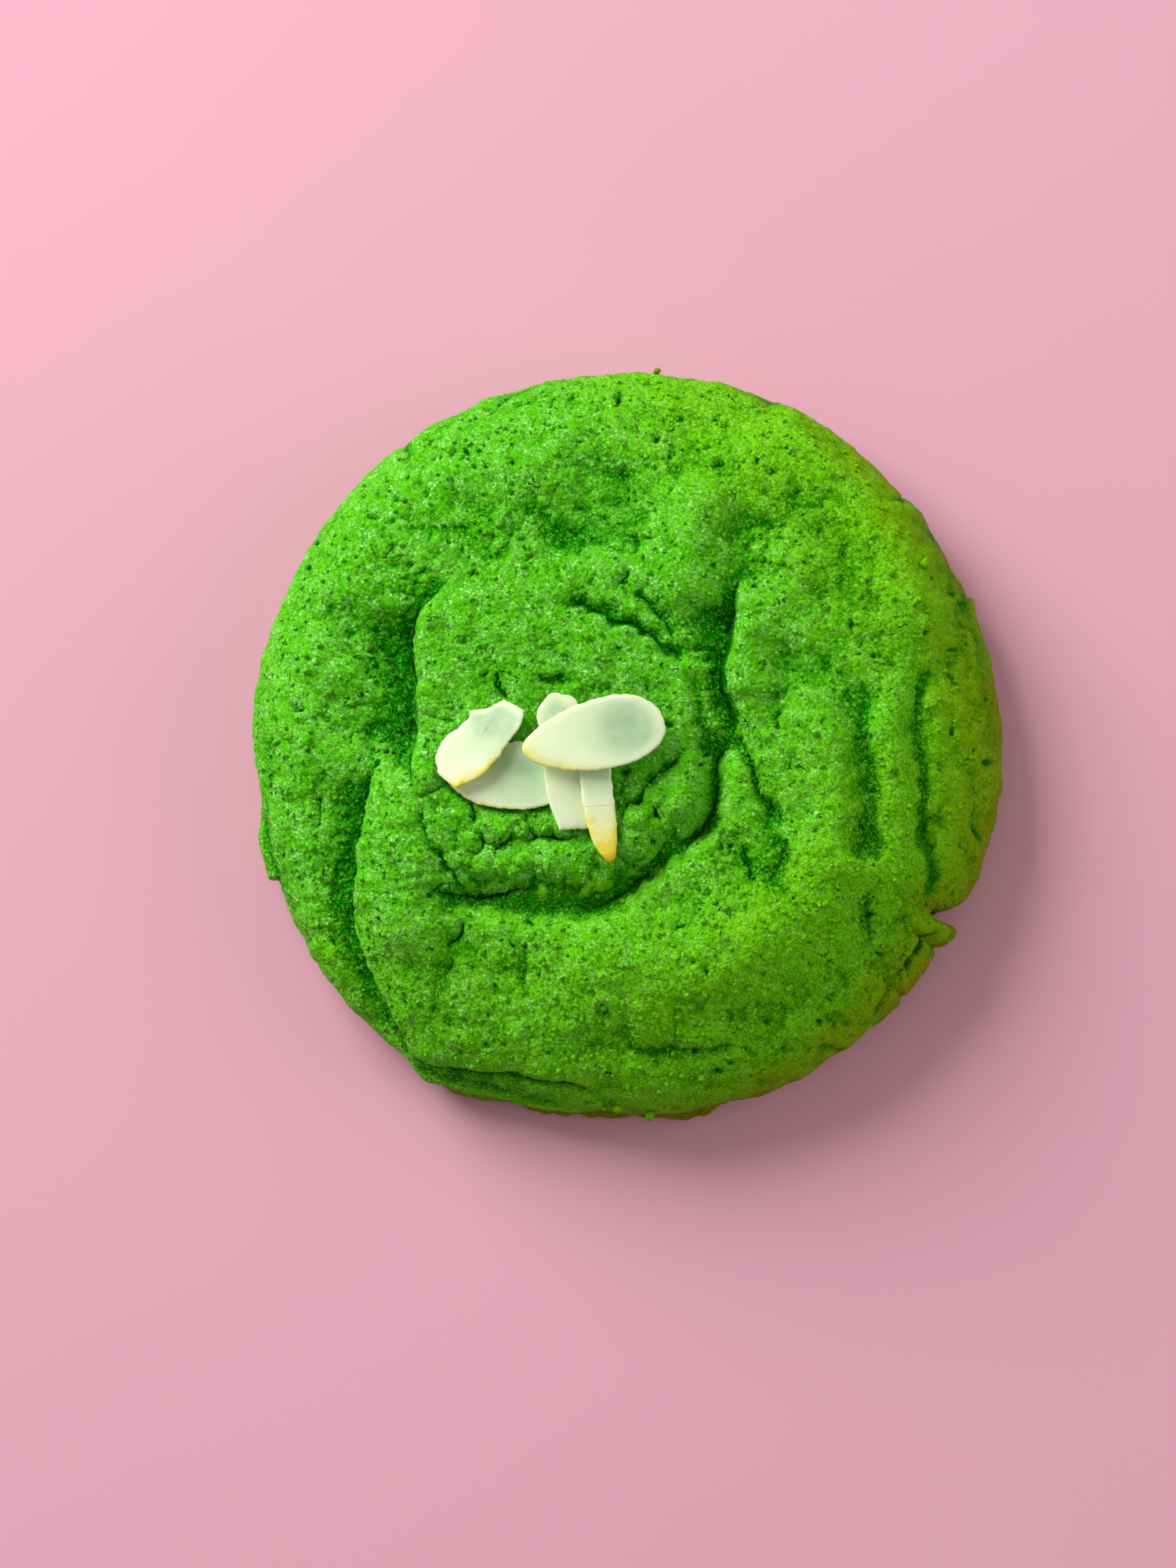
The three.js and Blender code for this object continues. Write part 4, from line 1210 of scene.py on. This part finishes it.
def almond_material(settings):
    """Flaked almond: waxy ivory, cooler and greener in its thin middle, where shade and the dough's
    green seen through are painted, creamy at the edge, and golden to orange-brown where it is
    toasted."""
    material, tree, shader, where = blank_material("toasted_almond")
    edge = measure(tree, "edge")
    cloudy = ramp(tree, speckle(tree, where, 4.5, 3.0), 0.3, 0.65, 0.6, 1.1)
    # Painted shade, and the dough's green painted as if seen through the thin middle.
    thin = times(tree, measure(tree, "thin"), cloudy)
    thin = times(tree, thin, ramp(tree, edge, 0.6, 0.95, 1.0, 0.0))
    colour = tint(tree, thin, settings.ivory, settings.thin_shade_green)
    patchy = ramp(tree, speckle(tree, where, 1.8, 3.0), 0.35, 0.65, 0.55, 1.3)
    toast = times(tree, measure(tree, "toast"), patchy)
    toast = plus(tree, toast, ramp(tree, edge, 0.7, 1.0, 0.0, 0.09))
    colour = tint(tree, ramp(tree, toast, 0.05, 0.5), colour, settings.golden)
    colour = tint(tree, ramp(tree, toast, 0.72, 1.15), colour, settings.toasted)
    from_crack = maths(tree, "ABSOLUTE", measure(tree, "past_crack"))
    colour = tint(tree, ramp(tree, from_crack, 0.03, 0.11, 0.45, 0.0), colour, settings.toasted)
    set_shader(tree, shader, {
        "Base Color": colour,
        "Roughness": ramp(tree, speckle(tree, where, 1.0), 0.3, 0.7, 0.38, 0.55),
        "Specular IOR Level": 0.25,
        "Subsurface Weight": 0.4,
        "Subsurface Radius": (0.8, 1.0, 0.7),
        "Subsurface Scale": 1.5 * MM,
        "Normal": bump(tree, speckle(tree, where, 0.6, 4.0), 0.1, 0.2),
    })
    return material


def floor_material(colour):
    """An even matt finish, with faint, broad and slightly darker patches."""
    material, tree, shader, where = blank_material("floor")
    shade = (*(0.97 * channel for channel in colour[:3]), 1.0)
    colour = tint(tree, speckle(tree, where, 60.0), tuple(colour), shade)
    set_shader(tree, shader, {"Base Color": colour, "Roughness": 0.75})
    return material


# ---- Settings -------------------------------------------------------------------------------

def length_setting(name, description, default):
    """A length, in metres."""
    return bpy.props.FloatProperty(
        name=name, description=description, default=default, min=0.0, precision=5,
        subtype="DISTANCE", unit="LENGTH",
    )


def factor_setting(name, description):
    """A share of the usual."""
    return bpy.props.FloatProperty(
        name=name, description=description, default=1.0, min=0.0, max=3.0, subtype="FACTOR",
    )


def colour_setting(name, description, default):
    """A linear colour with alpha."""
    return bpy.props.FloatVectorProperty(
        name=name, description=description, default=(*default, 1.0), size=4, min=0.0, max=1.0,
        subtype="COLOR",
    )


class DoughSettings(bpy.types.PropertyGroup):
    """Sizes and colours of the dough."""

    fold_depth: factor_setting("Fold depth", "How deep the folds are, next to the usual depth")
    lump_height: length_setting("Lump height", "Height of the lumps of the crumb", 0.001)
    grain_depth: factor_setting("Grain depth", "How rough the crumb is, next to the usual")
    # The fresh and pale greens hold a painted cool sheen for the side towards the key light.
    fresh_sheen_green: colour_setting("Fresh green", "Colour of moist dough", (0.08, 0.5, 0.002))
    warm_green: colour_setting("Warm green", "Colour of drier dough", (0.13, 0.53, 0.0004))
    # The pale greens also hold painted highlight on the tops of grains, besides paler random patches.
    pale_sheen_green: colour_setting("Pale green", "Moist dough's paler parts", (0.18, 0.61, 0.04))
    warm_pale_highlight: colour_setting("Warm pale", "Drier dough's paler parts", (0.23, 0.62, 0.02))
    # The deep greens are the colours of painted shade in hollows and between grains, and of random
    # darker patches.
    deep_shade_green: colour_setting("Deep green", "Moist dough's hollows", (0.002, 0.21, 0.0002))
    warm_deep_shade: colour_setting("Warm deep", "Drier dough's hollows", (0.009, 0.19, 0.0002))
    # Glint is a painted highlight, put into the colour of grain tops.
    glint: colour_setting("Glint", "Colour of the tops of grains", (0.44, 0.95, 0.26))
    # The gap colour is the dark of real cracks, and of painted shade in creases, pores and between
    # grains.
    gap: colour_setting("Gap", "Colour of pores and cracks", (0.001, 0.09, 0.0002))
    olive: colour_setting("Olive", "Colour low on the side", (0.19, 0.38, 0.001))
    brown: colour_setting("Brown", "Colour of the base's edge", (0.22, 0.15, 0.003))


class AlmondSettings(bpy.types.PropertyGroup):
    """Sizes and colours of the almond slices."""

    slice_thickness: length_setting("Thickness", "Thickness of an almond slice", 0.0011)
    ivory: colour_setting("Ivory", "Colour of a slice", (0.82, 0.95, 0.6))
    # The thin part's tint is painted shade and painted see-through green.
    thin_shade_green: colour_setting("Thin part", "Tint where a slice is thin", (0.36, 0.57, 0.34))
    golden: colour_setting("Golden", "Colour of a lightly toasted edge", (0.84, 0.72, 0.06))
    toasted: colour_setting("Toasted", "Colour of a dark toasted tip", (0.7, 0.36, 0.004))


class StageSettings(bpy.types.PropertyGroup):
    """The floor, the lights and the camera."""

    floor_colour: colour_setting("Floor", "Colour of the floor", (0.78, 0.39, 0.49))
    key_power: bpy.props.FloatProperty(
        name="Key light", description="Power of the large light", default=13.5, min=0.0,
        subtype="POWER", unit="POWER",
    )
    camera_distance: length_setting("Camera distance", "From the camera to the cookie", 0.7)
    camera_tilt: bpy.props.FloatProperty(
        name="Camera tilt", description="Angle of the camera away from straight above",
        default=math.radians(7.0), subtype="ANGLE", unit="ROTATION",
    )


class CookieSettings(bpy.types.PropertyGroup):
    """All settings of the cookie and its stage."""

    dough: bpy.props.PointerProperty(type=DoughSettings)
    almonds: bpy.props.PointerProperty(type=AlmondSettings)
    stage: bpy.props.PointerProperty(type=StageSettings)


# ---- Operators ------------------------------------------------------------------------------

class COOKIE_OT_dough(bpy.types.Operator):
    """Make the folded green dough"""

    bl_idname = "cookie.dough"
    bl_label = "Dough"

    def execute(self, context):
        settings = context.scene.cookie
        shape = dough_mesh(settings.dough, settings.almonds.slice_thickness / MM)
        material = dough_material(settings.dough)
        add_piece("baked_dough", shape, material, ("dough",))
        return {"FINISHED"}


class COOKIE_OT_almonds(bpy.types.Operator):
    """Lay the almond slices on the dough"""

    bl_idname = "cookie.almonds"
    bl_label = "Almond slices"

    def execute(self, context):
        settings = context.scene.cookie.almonds
        material = almond_material(settings)
        for name in SLICES:
            piece = name.replace("almond_", "slice_")
            shape = slice_mesh(name, settings.slice_thickness / MM)
            add_piece(piece, shape, material, (name,))
        return {"FINISHED"}


class COOKIE_OT_crumbs(bpy.types.Operator):
    """Scatter loose crumbs over the dough, once it is made"""

    bl_idname = "cookie.crumbs"
    bl_label = "Crumbs"

    def execute(self, context):
        dough = bpy.data.objects.get("baked_dough")
        if dough is None:
            raise RuntimeError("the crumbs need the dough to cling to")
        shape = crumb_mesh(*crumb_places(dough.data))
        add_piece("loose_crumbs", shape, dough.data.materials[0])
        return {"FINISHED"}


class COOKIE_OT_stage(bpy.types.Operator):
    """Set up the floor, the lights and the camera"""

    bl_idname = "cookie.stage"
    bl_label = "Stage"

    def execute(self, context):
        settings = context.scene.cookie.stage
        context.scene.view_settings.view_transform = "Standard"
        add_floor(settings)
        add_lights(settings)
        add_camera(settings)
        return {"FINISHED"}


# ---- Stage ----------------------------------------------------------------------------------

def add_object(name, data):
    """A new object, in the scene."""
    item = bpy.data.objects.new(name, data)
    bpy.context.scene.collection.objects.link(item)
    return item


def add_floor(settings):
    """A large round floor, level with the base."""
    RADIUS, CORNERS = 3.0, 96
    angle = np.arange(CORNERS) / CORNERS * 2.0 * math.pi
    rim = np.stack((RADIUS * np.cos(angle), RADIUS * np.sin(angle), np.zeros(CORNERS)), -1)
    mesh = bpy.data.meshes.new("floor")
    mesh.from_pydata(rim.tolist(), [], [list(range(CORNERS))])
    mesh.materials.append(floor_material(settings.floor_colour))
    add_object("floor", mesh)


def looking(place, target, upward):
    """A matrix that puts an object at a place, looking along its own -Z at the target."""
    back = (place - target).normalized()
    right = upward.cross(back).normalized()
    return Matrix.Translation(place) @ Matrix((right, back.cross(right), back)).transposed().to_4x4()


def add_lights(settings):
    """A large soft light from the upper left, a weaker one from the right, and an even sky."""
    TARGET = Vector((0.0, 0.0, 0.012))
    lights = (
        ("key", (-0.58, 0.62, 0.50), 0.72, settings.key_power),
        ("fill", (0.78, 0.05, 0.36), 0.70, 0.16 * settings.key_power),
    )
    for name, place, size, power in lights:
        lamp = bpy.data.lights.new(name, "AREA")
        lamp.shape = "DISK"
        lamp.size = size
        lamp.energy = power
        add_object(name, lamp).matrix_world = looking(Vector(place), TARGET, Vector((0, 0, 1)))
    world = bpy.data.worlds.new("sky")
    world.use_nodes = True
    background = world.node_tree.nodes["Background"]
    background.inputs["Color"].default_value = (1.0, 0.93, 0.94, 1.0)
    background.inputs["Strength"].default_value = 0.32
    bpy.context.scene.world = world


def add_camera(settings):
    """A camera nearly straight above, leaning towards the split in the rim."""
    FRAME_WIDTH = 0.1715  # of the view, at the cookie
    TARGET = Vector((-0.0056, -0.0066, 0.008))
    tilt = settings.camera_tilt
    lean = math.radians(-45.0)
    away = Vector((math.sin(tilt) * math.cos(lean), math.sin(tilt) * math.sin(lean), math.cos(tilt)))
    data = bpy.data.cameras.new("camera")
    data.sensor_fit = "HORIZONTAL"
    data.lens = data.sensor_width * settings.camera_distance / FRAME_WIDTH
    data.clip_start = 0.01
    camera = add_object("camera", data)
    place = TARGET + settings.camera_distance * away
    camera.matrix_world = looking(place, TARGET, Vector((0, 1, 0)))
    bpy.context.scene.camera = camera


# ---- Panel and registration -----------------------------------------------------------------

class COOKIE_PT_panel(bpy.types.Panel):
    """The cookie's settings and the steps that make it"""

    bl_idname = "COOKIE_PT_panel"
    bl_label = "Pandan Cookie"
    bl_space_type = "VIEW_3D"
    bl_region_type = "UI"
    bl_category = "Cookie"

    def draw(self, context):
        settings = context.scene.cookie
        groups = (
            (settings.dough, (COOKIE_OT_dough, COOKIE_OT_crumbs)),
            (settings.almonds, (COOKIE_OT_almonds,)),
            (settings.stage, (COOKIE_OT_stage,)),
        )
        for group, operators in groups:
            box = self.layout.box()
            for name in group.__annotations__:
                box.prop(group, name)
            for operator in operators:
                box.operator(operator.bl_idname)


CLASSES = (
    DoughSettings,
    AlmondSettings,
    StageSettings,
    CookieSettings,
    COOKIE_OT_dough,
    COOKIE_OT_almonds,
    COOKIE_OT_crumbs,
    COOKIE_OT_stage,
    COOKIE_PT_panel,
)


def register():
    for item in CLASSES:
        bpy.utils.register_class(item)
    bpy.types.Scene.cookie = bpy.props.PointerProperty(type=CookieSettings)


def unregister():
    del bpy.types.Scene.cookie
    for item in reversed(CLASSES):
        bpy.utils.unregister_class(item)


def main():
    register()
    bpy.ops.cookie.dough()
    bpy.ops.cookie.almonds()
    bpy.ops.cookie.crumbs()
    bpy.ops.cookie.stage()


if __name__ == "__main__":
    main()
